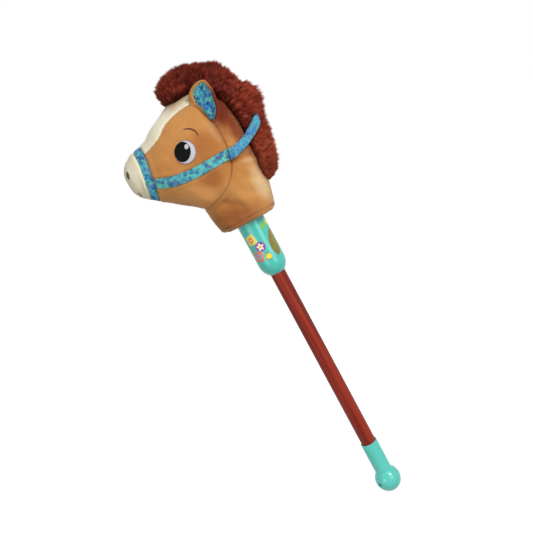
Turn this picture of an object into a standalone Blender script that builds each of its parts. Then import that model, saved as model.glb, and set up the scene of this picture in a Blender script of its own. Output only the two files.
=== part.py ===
"""Hobby horse: a stuffed horse's head with a fur mane, bridle and rein, on a plastic stick.

Metres, +Z up along the stick. The origin is the centre of the end knob's flat foot.
The horse looks along -X, so its left side faces -Y.
"""
import math

import bmesh
import bpy
import numpy as np
from mathutils import Matrix, Vector

# Clearances
FIT_GAP = 0.0003
SEAM_GAP = 0.0006
CLOTH_GAP = 0.0008
WADDING_GAP = 0.0016
PATCH_GAP = 0.0006

# Stick, a plastic tube
STICK_DIAMETER = 0.0254
STICK_WALL = 0.0018
STICK_SHOWING = 0.3345
STICK_IN_KNOB = 0.046
STICK_IN_HEAD = 0.112
STICK_CAP_HEIGHT = 0.006
STICK_CAP_SPIGOT = 0.014
CAP_SPIGOT_WALL = 0.002

# End knob, a socket on a hollow ball
KNOB_BALL_DIAMETER = 0.0448
KNOB_SOCKET_DIAMETER = 0.0294
KNOB_HEIGHT = 0.0968
KNOB_FOOT_DEPTH = 0.0008
KNOB_WALL = 0.0026
KNOB_RIM_ROUND = 0.0007
KNOB_VENT_DIAMETER = 0.0058
KNOB_VENT_DROP = -0.04
KNOB_VENT_TURN = 0.62

# Grip sleeve, a barrel with a domed lower end
SLEEVE_DIAMETER = 0.0466
SLEEVE_WALL = 0.0024
SLEEVE_SHOWING = 0.0950
SLEEVE_IN_NECK = 0.040
SLEEVE_DOME_HEIGHT = 0.0215
COLLAR_HEIGHT = 0.010
COLLAR_SEAT_HEIGHT = 0.004
CROSS_PIN_DIAMETER = 0.004
CROSS_PIN_DROP = 0.007

# Heights where the rigid parts meet
SLEEVE_BOTTOM = KNOB_HEIGHT + STICK_SHOWING
NECK_BASE = SLEEVE_BOTTOM + SLEEVE_SHOWING
SLEEVE_TOP = NECK_BASE + SLEEVE_IN_NECK
STICK_BOTTOM = KNOB_HEIGHT - STICK_IN_KNOB
STICK_TOP = NECK_BASE + STICK_IN_HEAD

# Cloth of the head and neck
PANEL_THICKNESS = 0.0014
BASE_CUFF_HEIGHT = 0.016
CORE_END_SHARE = 0.86
TIE_WIDTH = 0.0045
TIE_THICKNESS = 0.0016
TIE_HEIGHT = 0.0085
TIE_LOCK_SIZE = 0.005
TIE_INNER_RADIUS = SLEEVE_DIAMETER / 2 + FIT_GAP + PANEL_THICKNESS + FIT_GAP

# Stations of the stuffed form, from the nose to the neck's base. Each is a curve in the plane
# y = 0 from the jaw line to the crest line, measured from the centre of the neck's base:
# jaw x, jaw z, crest x, crest z, half width, and how far the curve bows back as the jowl does.
STATIONS = (
    (-0.1428, 0.1290, -0.1434, 0.1470, 0.0000, 0.00),
    (-0.1395, 0.1210, -0.1418, 0.1565, 0.0180, 0.00),
    (-0.1340, 0.1130, -0.1375, 0.1655, 0.0265, 0.00),
    (-0.1265, 0.1055, -0.1285, 0.1745, 0.0325, 0.00),
    (-0.1180, 0.1000, -0.1067, 0.1840, 0.0375, 0.00),
    (-0.1065, 0.0912, -0.0945, 0.1880, 0.0405, 0.00),
    (-0.0900, 0.0780, -0.0740, 0.1995, 0.0465, 0.10),
    (-0.0750, 0.0670, -0.0520, 0.2105, 0.0525, 0.26),
    (-0.0650, 0.0580, -0.0280, 0.2205, 0.0565, 0.54),
    (-0.0575, 0.0500, 0.0120, 0.2260, 0.0545, 1.00),
    (-0.0562, 0.0455, 0.0400, 0.2080, 0.0505, 0.95),
    (-0.0548, 0.0410, 0.0570, 0.1770, 0.0485, 0.80),
    (-0.0530, 0.0305, 0.0600, 0.1285, 0.0475, 0.50),
    (-0.0510, 0.0200, 0.0580, 0.0735, 0.0475, 0.22),
    (-0.0500, 0.0125, 0.0550, 0.0335, 0.0470, 0.06),
    (-0.0485, 0.0065, 0.0520, 0.0140, 0.0460, 0.00),
    (-0.0450, 0.0025, 0.0480, 0.0045, 0.0430, 0.00),
    (-0.0405, 0.0008, 0.0430, 0.0010, 0.0385, 0.00),
)
BOW_LOW = (0.049, -0.062)
BOW_HIGH = (0.046, -0.048)
SECTION_FULLNESS = 0.90
FORM_CENTRE = (-0.030, 0.100)
AROUND = 16
BLAZE_SEAM = 12
NOSEBAND_MIDDLE = 4.5
NOSEBAND_ROWS = (4.0, 4.5, 5.0)
JOWL = 9.0
JOWL_STEP = 0.0030
MUZZLE_ROWS = (0.0, 0.3, 1.0, 2.0, 3.0, 4.0)
FACE_ROWS = (5.0, 5.75, 6.5, 7.25, 8.0, 8.5)
NECK_ROWS = (9.5, 10.0, 10.5, 11.0, 12.0, 13.0, 14.0, 15.0, 16.0, 17.0)
ROW_GAP = 0.03

# Mane, a fur ridge from the forelock to the foot of the neck
MANE_HALF_WIDTH = 0.033
MANE_ROOT_COLUMNS = 3
MANE_ARCH = 82
MANE_GAP = 0.0008
# Each is a station and the height of the ridge above the cloth
MANE_HEIGHTS = (
    (7.96, 0.016),
    (8.00, 0.022),
    (8.15, 0.031),
    (8.50, 0.036),
    (9.00, 0.037),
    (9.25, 0.038),
    (9.50, 0.038),
    (9.75, 0.038),
    (10.00, 0.038),
    (10.25, 0.039),
    (10.50, 0.041),
    (10.75, 0.043),
    (11.00, 0.046),
    (11.18, 0.044),
    (11.34, 0.034),
    (11.50, 0.0265),
    (12.00, 0.0265),
    (12.50, 0.0265),
    (13.00, 0.0265),
    (13.50, 0.022),
    (13.75, 0.012),
)

# Bridle and rein, printed webbing. Routes are measured from the centre of the neck's base
STRAP_WIDTH = 0.0158
STRAP_THICKNESS = 0.0016
NOSEBAND_GAP = 0.0006
STRAP_GAP = 0.0010
CHEEK_STRAP_ROUTE = (
    (-0.0985, 0.1195),
    (-0.0870, 0.1150),
    (-0.0700, 0.1104),
    (-0.0435, 0.1067),
    (-0.0170, 0.1067),
    (0.0115, 0.1076),
)
CHEEK_STRAP_ROWS = 20
REIN_AXIS = (0.0200, 0.1076)
# The left half of the rein, from its stitch to the middle of the back: back, side, up
REIN_ROUTE = (
    (0.0200, 0.0572, 0.1076),
    (0.0340, 0.0568, 0.1086),
    (0.0470, 0.0555, 0.1102),
    (0.0600, 0.0530, 0.1165),
    (0.0725, 0.0480, 0.1245),
    (0.0835, 0.0385, 0.1325),
    (0.0905, 0.0220, 0.1382),
    (0.0925, 0.0000, 0.1395),
)
REIN_TILT = 0.35
REIN_ROWS = 15
REIN_TAB_TURNS = (25, 50, 70, 82)
STITCH_DIAMETER = 0.0010
STITCH_LENGTH = 0.0140

# Ears, each a tan back and a printed lining. The outline is seen from the side
EAR_OUTLINE = (
    (0.0215, 0.1625),
    (0.0285, 0.1660),
    (0.0376, 0.1766),
    (0.0431, 0.1912),
    (0.0430, 0.2058),
    (0.0391, 0.2193),
    (0.0288, 0.2230),
    (0.0167, 0.2175),
    (0.0093, 0.2076),
    (0.0058, 0.1985),
)
EAR_STEPS = 20
EAR_RINGS = (0.43, 0.86, 1.0)
EAR_LEAN = 0.50
EAR_CUP = 0.0050
EAR_BACK_THICKNESS = 0.0016
EAR_BASE_BULGE = 0.0050
EAR_LINING_THICKNESS = 0.0012
EAR_LINING_RINGS = 2
EAR_GAP = 0.0009

# Face details, flat embroidery on the cloth
EYE_PLACE = (-0.0413, 0.1427)
PUPIL_SIZE = (0.0262, 0.0282)
EYE_WHITE_SIZE = (0.0336, 0.0322)
EYE_WHITE_SHIFT = (0.0038, -0.0022)
GLINT_SIZE = (0.0066, 0.0084)
GLINT_SHIFT = (0.0100, 0.0034)
EYE_TURN = 0.20
PATCH_THICKNESS = 0.0005
BROW_ROUTE = ((-0.0211, 0.1709), (-0.0141, 0.1682), (-0.0096, 0.1608), (-0.0090, 0.1526))
BROW_WIDTH = 0.0022
NOSTRIL_PLACE = (-0.1343, 0.1527)
NOSTRIL_SIZE = (0.0050, 0.0130)
NOSTRIL_TURN = -0.20
MOUTH_ROUTE = ((-0.1339, 0.1233), (-0.1316, 0.1195), (-0.1331, 0.1133))
MOUTH_WIDTH = 0.0018

# Which side is which, looking along the horse
SIDES = (("left", -1.0), ("right", 1.0))
STATIONS_LAST = len(STATIONS) - 1.0

# Colours, as display values from 0 to 1
TEAL = (0.36, 0.81, 0.74)
STICK_BROWN = (0.55, 0.22, 0.15)
TAN = (0.80, 0.56, 0.33)
CREAM = (0.90, 0.87, 0.76)
MANE_BROWN = (0.47, 0.18, 0.11)
PRINT_BLUE = (0.24, 0.62, 0.76)
BLACK = (0.08, 0.08, 0.09)
WHITE = (0.93, 0.92, 0.94)
MAROON = (0.40, 0.12, 0.09)
GREY_BROWN = (0.28, 0.24, 0.21)
WADDING = (0.94, 0.94, 0.92)
NYLON = (0.90, 0.90, 0.88)
STEEL = (0.72, 0.72, 0.74)
INNER_PLASTIC = (0.85, 0.85, 0.83)


def clear_scene():
    for thing in list(bpy.data.objects):
        bpy.data.objects.remove(thing, do_unlink=True)


def new_collection(name):
    group = bpy.data.collections.new(name)
    bpy.context.scene.collection.children.link(group)
    return group


def linear(value):
    if value <= 0.04045:
        return value / 12.92
    return ((value + 0.055) / 1.055) ** 2.4


def material(name, colour, roughness, metallic=0.0):
    made = bpy.data.materials.new(name)
    made.use_nodes = True
    shader = made.node_tree.nodes["Principled BSDF"]
    shader.inputs["Base Color"].default_value = [linear(c) for c in colour] + [1.0]
    shader.inputs["Roughness"].default_value = roughness
    shader.inputs["Metallic"].default_value = metallic
    return made


def add_part(name, mesh, look, place=(0.0, 0.0, 0.0), parent=None):
    """Makes the object of one piece, with its own material."""
    part = bpy.data.objects.new(name, mesh)
    part.location = place
    part.parent = parent
    mesh.materials.append(material(name, *look))
    PARTS.objects.link(part)
    return part


def add_cutter(name, mesh, place=(0.0, 0.0, 0.0)):
    """Makes a shape that only cuts or guides others."""
    cutter = bpy.data.objects.new(name, mesh)
    cutter.location = place
    cutter.hide_render = True
    cutter.display_type = "WIRE"
    CUTTERS.objects.link(cutter)
    return cutter


def add_pivot(name, place):
    pivot = bpy.data.objects.new(name, None)
    pivot.location = place
    pivot.empty_display_size = 0.01
    PARTS.objects.link(pivot)
    return pivot


def cut(part, cutter):
    boolean = part.modifiers.new("cut", "BOOLEAN")
    boolean.operation = "DIFFERENCE"
    boolean.object = cutter
    return boolean


def solidify(part, thickness, side):
    wall = part.modifiers.new("wall", "SOLIDIFY")
    wall.thickness = thickness
    wall.offset = side
    return wall


def mesh_from(name, points, edges, faces, smooth=True):
    mesh = bpy.data.meshes.new(name)
    mesh.from_pydata([tuple(p) for p in points], edges, faces)
    mesh.validate()
    if smooth and faces:
        mesh.shade_smooth()
    return mesh


def turned(name, profile, steps, closed):
    """The mesh and Screw settings of a turned shape. The profile is (radius, height) pairs,
    down the outside first and up the inside after it."""
    points = [(radius, 0.0, height) for radius, height in profile]
    edges = [(i, i + 1) for i in range(len(points) - 1)]
    if closed:
        edges.append((len(points) - 1, 0))
    return mesh_from(name, points, edges, []), steps


def screw(part, steps):
    spin = part.modifiers.new("turn", "SCREW")
    spin.axis = "Z"
    spin.angle = math.tau
    spin.screw_offset = 0.0
    spin.steps = steps
    spin.render_steps = steps
    spin.use_merge_vertices = True
    spin.merge_threshold = 0.00001
    spin.use_smooth_shade = True
    return spin


def turned_part(name, profile, steps, look, closed=True, parent=None):
    mesh, count = turned(name, profile, steps, closed)
    part = add_part(name, mesh, look, parent=parent)
    screw(part, count)
    return part


def turned_cutter(name, profile, steps, closed=False):
    mesh, count = turned(name, profile, steps, closed)
    cutter = add_cutter(name, mesh)
    screw(cutter, count)
    return cutter


def arc(centre_radius, centre_height, reach_radius, reach_height, start, end, count):
    """Points of an elliptic arc in a profile, from one angle to the other, in degrees."""
    points = []
    for i in range(count + 1):
        angle = math.radians(start + (end - start) * i / count)
        radius = centre_radius + reach_radius * math.cos(angle)
        height = centre_height + reach_height * math.sin(angle)
        points.append((radius, height))
    return points


def cylinder_mesh(name, radius, length, sides):
    """A closed cylinder about Z, from z = -length / 2 to length / 2."""
    shape = bmesh.new()
    bmesh.ops.create_cone(
        shape,
        cap_ends=True,
        segments=sides,
        radius1=radius,
        radius2=radius,
        depth=length,
    )
    mesh = bpy.data.meshes.new(name)
    shape.to_mesh(mesh)
    shape.free()
    mesh.shade_smooth()
    mesh.set_sharp_from_angle(angle=math.radians(40))
    return mesh


def box_mesh(name, size):
    shape = bmesh.new()
    bmesh.ops.create_cube(shape, size=1.0)
    bmesh.ops.scale(shape, vec=size, verts=shape.verts)
    mesh = bpy.data.meshes.new(name)
    shape.to_mesh(mesh)
    shape.free()
    return mesh


def along(table, where):
    """Reads a table of rows at fractional row numbers, on a Catmull-Rom curve."""
    rows = np.asarray(table, float)
    rows = np.vstack([2 * rows[0] - rows[1], rows, 2 * rows[-1] - rows[-2]])
    where = np.clip(np.asarray(where, float), 0.0, len(table) - 1)
    first = np.minimum(where.astype(int), len(table) - 2)
    t = (where - first)[..., None]
    a, b, c, d = (rows[first + k] for k in range(4))
    bend = 2 * a - 5 * b + 4 * c - d
    twist = 3 * b - a - 3 * c + d
    return 0.5 * (2 * b + (c - a) * t + bend * t**2 + twist * t**3)


def route(points, count):
    """Evenly spaced points on a Catmull-Rom curve through the given ones."""
    fine = along(points, np.linspace(0, len(points) - 1, 400))
    run = np.r_[0, np.cumsum(np.linalg.norm(np.diff(fine, axis=0), axis=1))]
    wanted = np.linspace(0, run[-1], count)
    return np.stack([np.interp(wanted, run, fine[:, k]) for k in range(fine.shape[1])], 1)


def skin(station, angle, side=1.0, step=0.0):
    """Points of the stuffed form's surface. The angle runs from 0 on the jaw line to pi on the
    crest line; x and z lie on the station's cubic curve at (1 - cos angle) / 2, and y is the
    half width, less step, times a power of the sine."""
    row = along(STATIONS, station)
    jaw, crest = row[..., 0:2], row[..., 2:4]
    width, bow = row[..., 4], row[..., 5:6]
    low = jaw + (crest - jaw) / 3 + bow * np.array(BOW_LOW)
    high = jaw + (crest - jaw) * 2 / 3 + bow * np.array(BOW_HIGH)
    t = ((1 - np.cos(angle)) / 2)[..., None]
    flat = (
        jaw * (1 - t) ** 3
        + 3 * low * t * (1 - t) ** 2
        + 3 * high * t**2 * (1 - t)
        + crest * t**3
    )
    reach = np.abs(np.sin(angle)) ** SECTION_FULLNESS
    y = side * (width - step) * reach
    return np.stack([flat[..., 0], y, flat[..., 1] + NECK_BASE], -1)


def split_faces(rows, columns, middle=None, closed=False):
    """Three-sided faces of a grid of points. Their diagonals are mirrored past a middle
    column, so that pieces laid on each other have the same facets on both sides."""
    middle = columns if middle is None else middle
    faces = []
    for i in range(rows - 1):
        near, far = i * columns, (i + 1) * columns
        for j in range(columns if closed else columns - 1):
            k = (j + 1) % columns
            if j < middle:
                faces.append((near + j, near + k, far + k))
                faces.append((near + j, far + k, far + j))
            else:
                faces.append((near + k, far + j, near + j))
                faces.append((near + k, far + k, far + j))
    return faces


def grid_faces(rows, columns, closed=False):
    """Four-sided faces of a grid of points, which may close on itself across its columns."""
    faces = []
    last = columns if closed else columns - 1
    for i in range(rows - 1):
        here = i * columns
        there = here + columns
        for j in range(last):
            k = (j + 1) % columns
            faces.append((here + j, here + k, there + k, there + j))
    return faces


def face_toward_stick(mesh):
    """Turns the neck's base panel so that it faces down and its cuff faces the sleeve."""
    shape = bmesh.new()
    shape.from_mesh(mesh)
    bmesh.ops.recalc_face_normals(shape, faces=shape.faces)
    total = 0.0
    for face in shape.faces:
        centre = face.calc_center_median()
        total += face.normal.z * face.calc_area() + face.normal.xy.dot(centre.xy) * 0.001
    if total > 0:
        bmesh.ops.reverse_faces(shape, faces=shape.faces)
    shape.to_mesh(mesh)
    shape.free()


def turn_outward(mesh):
    shape = bmesh.new()
    shape.from_mesh(mesh)
    bmesh.ops.remove_doubles(shape, verts=shape.verts, dist=0.000002)
    bmesh.ops.recalc_face_normals(shape, faces=shape.faces)
    shape.to_mesh(mesh)
    shape.free()


def face_away(mesh, centre=FORM_CENTRE):
    """Turns an open sheet's faces so that they point away from a point in the plane y = 0."""
    shape = bmesh.new()
    shape.from_mesh(mesh)
    bmesh.ops.remove_doubles(shape, verts=shape.verts, dist=0.000002)
    bmesh.ops.recalc_face_normals(shape, faces=shape.faces)
    middle = Vector((centre[0], 0.0, NECK_BASE + centre[1]))
    total = 0.0
    for face in shape.faces:
        total += face.normal.dot(face.calc_center_median() - middle)
    if total < 0:
        bmesh.ops.reverse_faces(shape, faces=shape.faces)
    shape.to_mesh(mesh)
    shape.free()


def panel(name, rows, angles, side, look, step=0.0):
    """One cloth panel: a patch of the form's surface with a wall on its inner side."""
    station, angle = np.meshgrid(rows, angles, indexing="ij")
    points = skin(station, angle, side, step)
    points[..., 1] += side * SEAM_GAP / 2
    mesh = mesh_from(name, points.reshape(-1, 3), [], split_faces(len(rows), len(angles)))
    face_away(mesh)
    part = add_part(name, mesh, look)
    solidify(part, PANEL_THICKNESS, -1.0)
    return part


def full_ring(count):
    return np.arange(2 * count) * math.pi / count


def ring_points(rows, steps=0.0):
    """The whole surface at the given stations: the left side and then the right, as one ring."""
    station, angle = np.meshgrid(rows, full_ring(AROUND), indexing="ij")
    steps = np.broadcast_to(steps, len(rows))[:, None]
    points = skin(station, angle, 1.0, steps)
    points[..., 1] *= -np.sign(np.sin(angle) + 1e-9)
    return points


def capped_ring(name, rows, steps=0.0):
    """A closed solid between two stations. Each end is a strip from the left to the right,
    and the first is drawn in, so that no sharp edge is left under the cloth."""
    points = ring_points(rows, steps)
    middle = points[0].mean(0)
    points[0] = middle + (points[0] - middle) * CORE_END_SHARE
    columns = 2 * AROUND
    faces = split_faces(len(rows), columns, AROUND, closed=True)
    for base in (0, (len(rows) - 1) * columns):
        for j in range(AROUND):
            left = (base + j, base + j + 1)
            right = (base + (columns - j - 1) % columns, base + (columns - j) % columns)
            faces.append(left + right)
    shape = bmesh.new()
    corners = [shape.verts.new(p) for p in points.reshape(-1, 3)]
    for face in faces:
        wanted = list(dict.fromkeys(face))
        shape.faces.new([corners[i] for i in wanted])
    bmesh.ops.remove_doubles(shape, verts=shape.verts, dist=0.000002)
    bmesh.ops.dissolve_degenerate(shape, edges=shape.edges, dist=0.000001)
    bmesh.ops.recalc_face_normals(shape, faces=shape.faces)
    mesh = bpy.data.meshes.new(name)
    shape.to_mesh(mesh)
    shape.free()
    mesh.shade_smooth()
    return mesh


def rigid_parts():
    """Stick, knob, sleeve, its collars and the pin through them."""
    stick_radius = STICK_DIAMETER / 2
    bore_radius = stick_radius - STICK_WALL
    tube = [
        (stick_radius, STICK_TOP),
        (stick_radius, STICK_BOTTOM),
        (bore_radius, STICK_BOTTOM),
        (bore_radius, STICK_TOP),
    ]
    stick = turned_part("stick_tube", tube, 32, (STICK_BROWN, 0.35))

    cap_top = STICK_TOP + STICK_CAP_HEIGHT
    spigot_radius = bore_radius - FIT_GAP
    spigot_bore = spigot_radius - CAP_SPIGOT_WALL
    under_cap = STICK_TOP + FIT_GAP
    spigot_end = STICK_TOP - STICK_CAP_SPIGOT
    cap = [(0.0, cap_top)]
    cap += arc(stick_radius - 0.003, cap_top - 0.003, 0.003, 0.003, 90, 0, 2)
    cap += [
        (stick_radius, under_cap),
        (spigot_radius, under_cap),
        (spigot_radius, spigot_end),
        (spigot_bore, spigot_end),
        (spigot_bore, under_cap),
        (0.0, under_cap),
    ]
    turned_part("stick_top_cap", cap, 20, (INNER_PLASTIC, 0.5), closed=False)

    ball_radius = KNOB_BALL_DIAMETER / 2
    ball_centre = ball_radius - KNOB_FOOT_DEPTH
    socket_radius = KNOB_SOCKET_DIAMETER / 2
    socket_bore = stick_radius + FIT_GAP
    socket_floor = STICK_BOTTOM - FIT_GAP
    hollow_radius = ball_radius - KNOB_WALL
    throat_radius = bore_radius
    join = math.degrees(math.acos(socket_radius / ball_radius))
    foot = -math.degrees(math.asin(ball_centre / ball_radius))
    inner_join = math.degrees(math.acos(throat_radius / hollow_radius))
    knob = [
        (socket_radius, KNOB_HEIGHT - KNOB_RIM_ROUND),
    ]
    knob += arc(0.0, ball_centre, ball_radius, ball_radius, join, foot, 11)
    knob += [(0.0, 0.0)]
    knob += arc(0.0, ball_centre, hollow_radius, hollow_radius, -90, inner_join, 7)
    knob += [
        (throat_radius, socket_floor),
        (socket_bore, socket_floor),
        (socket_bore, KNOB_HEIGHT),
        (socket_radius - KNOB_RIM_ROUND, KNOB_HEIGHT),
    ]
    end_knob = turned_part("end_knob", knob, 28, (TEAL, 0.38))
    vent_turn = Vector((-math.cos(KNOB_VENT_TURN), -math.sin(KNOB_VENT_TURN), 0.0))
    vent_way = vent_turn * math.cos(KNOB_VENT_DROP) - Vector((0.0, 0.0, math.sin(KNOB_VENT_DROP)))
    vent = add_cutter(
        "vent_cutter",
        cylinder_mesh("vent_cutter", KNOB_VENT_DIAMETER / 2, KNOB_WALL * 4, 20),
        vent_way * (ball_radius - KNOB_WALL / 2) + Vector((0.0, 0.0, ball_centre)),
    )
    vent.rotation_euler = vent_way.to_track_quat("Z", "Y").to_euler()
    cut(end_knob, vent)

    sleeve_radius = SLEEVE_DIAMETER / 2
    inner_radius = sleeve_radius - SLEEVE_WALL
    sleeve_bore = stick_radius + FIT_GAP
    dome_end = math.degrees(math.acos(sleeve_bore / sleeve_radius))
    dome_reach = SLEEVE_DOME_HEIGHT / math.sin(math.radians(dome_end))
    dome_top = SLEEVE_BOTTOM + SLEEVE_DOME_HEIGHT
    inner_end = math.degrees(math.acos(sleeve_bore / inner_radius))
    inner_reach = dome_reach - SLEEVE_WALL
    sleeve = [(sleeve_radius, SLEEVE_TOP)]
    sleeve += arc(0.0, dome_top, sleeve_radius, dome_reach, 0, -dome_end, 7)
    sleeve += arc(0.0, dome_top, inner_radius, inner_reach, -inner_end, 0, 5)
    sleeve += [(inner_radius, SLEEVE_TOP)]
    grip = turned_part("grip_sleeve", sleeve, 32, (TEAL, 0.38))

    ring_inner = stick_radius + FIT_GAP
    ring_outer = inner_radius - FIT_GAP
    lower_collar = dome_top + COLLAR_SEAT_HEIGHT
    upper_collar = SLEEVE_TOP - COLLAR_HEIGHT - COLLAR_SEAT_HEIGHT / 2
    collars = []
    for name, bottom in (("sleeve_lower_collar", lower_collar), ("sleeve_upper_collar", upper_collar)):
        ring = [
            (ring_outer, bottom + COLLAR_HEIGHT),
            (ring_outer, bottom),
            (ring_inner, bottom),
            (ring_inner, bottom + COLLAR_HEIGHT),
        ]
        collars.append(turned_part(name, ring, 24, (INNER_PLASTIC, 0.5)))

    pin_height = SLEEVE_TOP - CROSS_PIN_DROP
    quarter = Matrix.Rotation(math.pi / 2, 4, "X")
    pin = add_part(
        "sleeve_cross_pin",
        cylinder_mesh("sleeve_cross_pin", CROSS_PIN_DIAMETER / 2, SLEEVE_DIAMETER - SLEEVE_WALL / 2, 16),
        (STEEL, 0.3, 1.0),
        (0.0, 0.0, pin_height),
    )
    pin.rotation_euler = quarter.to_euler()
    pin_hole = add_cutter(
        "pin_cutter",
        cylinder_mesh("pin_cutter", CROSS_PIN_DIAMETER / 2 + FIT_GAP, SLEEVE_DIAMETER * 1.2, 16),
        (0.0, 0.0, pin_height),
    )
    pin_hole.rotation_euler = quarter.to_euler()
    for part in (stick, grip, collars[1]):
        cut(part, pin_hole)


def neck_socket():
    """The room that the stuffing leaves for the cuff, the tie, the sleeve and the stick."""
    wide = TIE_INNER_RADIUS + TIE_THICKNESS + TIE_LOCK_SIZE + FIT_GAP
    cuff_top = NECK_BASE + BASE_CUFF_HEIGHT + 2 * FIT_GAP
    sleeve_room = SLEEVE_DIAMETER / 2 + FIT_GAP
    stick_room = STICK_DIAMETER / 2 + FIT_GAP
    top = STICK_TOP + STICK_CAP_HEIGHT + FIT_GAP
    profile = [
        (0.0, top),
        (stick_room, top),
        (stick_room, SLEEVE_TOP + FIT_GAP),
        (sleeve_room, SLEEVE_TOP + FIT_GAP),
        (sleeve_room, cuff_top),
        (wide, cuff_top),
        (wide, NECK_BASE - STRAP_WIDTH),
        (0.0, NECK_BASE - STRAP_WIDTH),
    ]
    return turned_cutter("neck_socket_cutter", profile, 32)


def stuffing():
    """Two cores of wadding, one for the head and one for the neck."""
    socket = neck_socket()
    head_rows = MUZZLE_ROWS[1:] + (NOSEBAND_MIDDLE,) + FACE_ROWS + (JOWL - ROW_GAP,)
    cores = (
        ("head_stuffing", head_rows, 0.0),
        ("neck_stuffing", NECK_ROWS[1:], JOWL_STEP),
    )
    for name, rows, step in cores:
        core = add_part(name, capped_ring(name, rows, step), (WADDING, 0.9))
        shrink = core.modifiers.new("under_cloth", "DISPLACE")
        shrink.mid_level = 0.0
        shrink.strength = -(PANEL_THICKNESS + WADDING_GAP)
        cut(core, socket)


def head_cloth():
    """Muzzle, face, blaze and neck panels. Left and right are panels of their own."""
    angles = np.linspace(0.0, math.pi, AROUND + 1)
    seam_turn = SEAM_GAP / (2 * STATIONS[7][4])
    seam = angles[BLAZE_SEAM]
    face_angles = np.r_[angles[:BLAZE_SEAM], seam - seam_turn]
    half_blaze = math.pi - seam - seam_turn
    across = 2 * (AROUND - BLAZE_SEAM) + 1
    blaze_angles = math.pi + np.linspace(-half_blaze, half_blaze, across)
    muzzle_rows = MUZZLE_ROWS + (NOSEBAND_MIDDLE - ROW_GAP,)
    face_rows = (NOSEBAND_MIDDLE + ROW_GAP,) + FACE_ROWS + (JOWL - ROW_GAP,)
    neck_rows = (JOWL + ROW_GAP,) + NECK_ROWS
    half_space = 4 * max(row[4] for row in STATIONS)
    for word, side in SIDES:
        muzzle = panel("muzzle_panel_" + word, muzzle_rows, angles, side, (CREAM, 0.85))
        block = box_mesh("seam_cutter_" + word, (half_space, half_space, half_space))
        shift = -side * (half_space / 2 - SEAM_GAP / 4)
        middle = (STATIONS[0][0], shift, NECK_BASE + STATIONS[0][3])
        cut(muzzle, add_cutter("seam_cutter_" + word, block, middle))
        panel("face_panel_" + word, face_rows, face_angles, side, (TAN, 0.85))
        panel("neck_panel_" + word, neck_rows, angles, side, (TAN, 0.85), JOWL_STEP)
    station, angle = np.meshgrid(face_rows, blaze_angles, indexing="ij")
    points = skin(station, angle)
    points[..., 1] *= np.sign(math.pi - angle)
    faces = split_faces(len(face_rows), across, AROUND - BLAZE_SEAM)
    mesh = mesh_from("blaze_panel", points.reshape(-1, 3), [], faces)
    face_away(mesh)
    blaze = add_part("blaze_panel", mesh, (CREAM, 0.85))
    solidify(blaze, PANEL_THICKNESS, -1.0)


def neck_base():
    """The panel under the neck, its cuff round the sleeve, and the tie that holds the cuff."""
    edge = ring_points((STATIONS_LAST,), JOWL_STEP)[0]
    edge[:, 0:2] *= 1 - 2 * SEAM_GAP / STATIONS[-1][4]
    edge[:, 2] = NECK_BASE + SEAM_GAP
    turn = np.arctan2(edge[:, 1], edge[:, 0])
    hug = SLEEVE_DIAMETER / 2 + FIT_GAP
    rings = [edge]
    for radius, height in (
        (hug + PANEL_THICKNESS, NECK_BASE),
        (hug, NECK_BASE + PANEL_THICKNESS),
        (hug, NECK_BASE + BASE_CUFF_HEIGHT),
    ):
        flat = np.full(len(turn), height)
        rings.append(np.stack([radius * np.cos(turn), radius * np.sin(turn), flat], 1))
    faces = grid_faces(len(rings), len(turn), closed=True)
    mesh = mesh_from("neck_base_panel", np.concatenate(rings), [], faces)
    face_toward_stick(mesh)
    base = add_part("neck_base_panel", mesh, (TAN, 0.85))
    solidify(base, PANEL_THICKNESS, -1.0)

    bottom = NECK_BASE + TIE_HEIGHT
    outer = TIE_INNER_RADIUS + TIE_THICKNESS
    band = [
        (outer, bottom + TIE_WIDTH),
        (outer, bottom),
        (TIE_INNER_RADIUS, bottom),
        (TIE_INNER_RADIUS, bottom + TIE_WIDTH),
    ]
    tie = turned_part("neck_tie", band, 32, (NYLON, 0.4))
    lock_size = (TIE_LOCK_SIZE, TIE_LOCK_SIZE, TIE_WIDTH)
    lock_place = (outer + TIE_LOCK_SIZE / 2 - TIE_THICKNESS / 2, 0.0, bottom + TIE_WIDTH / 2)
    lock = add_cutter("tie_lock_form", box_mesh("tie_lock_form", lock_size), lock_place)
    join = tie.modifiers.new("lock", "BOOLEAN")
    join.operation = "UNION"
    join.object = lock


def crest_frame(stations):
    """Crest points and the directions that point straight out of them in the plane y = 0."""
    crest = skin(stations, np.full(len(stations), math.pi))
    run = np.gradient(crest, axis=0)
    out = np.stack([-run[:, 2], np.zeros(len(run)), run[:, 0]], 1)
    return crest, out / np.linalg.norm(out, axis=1)[:, None]


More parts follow.
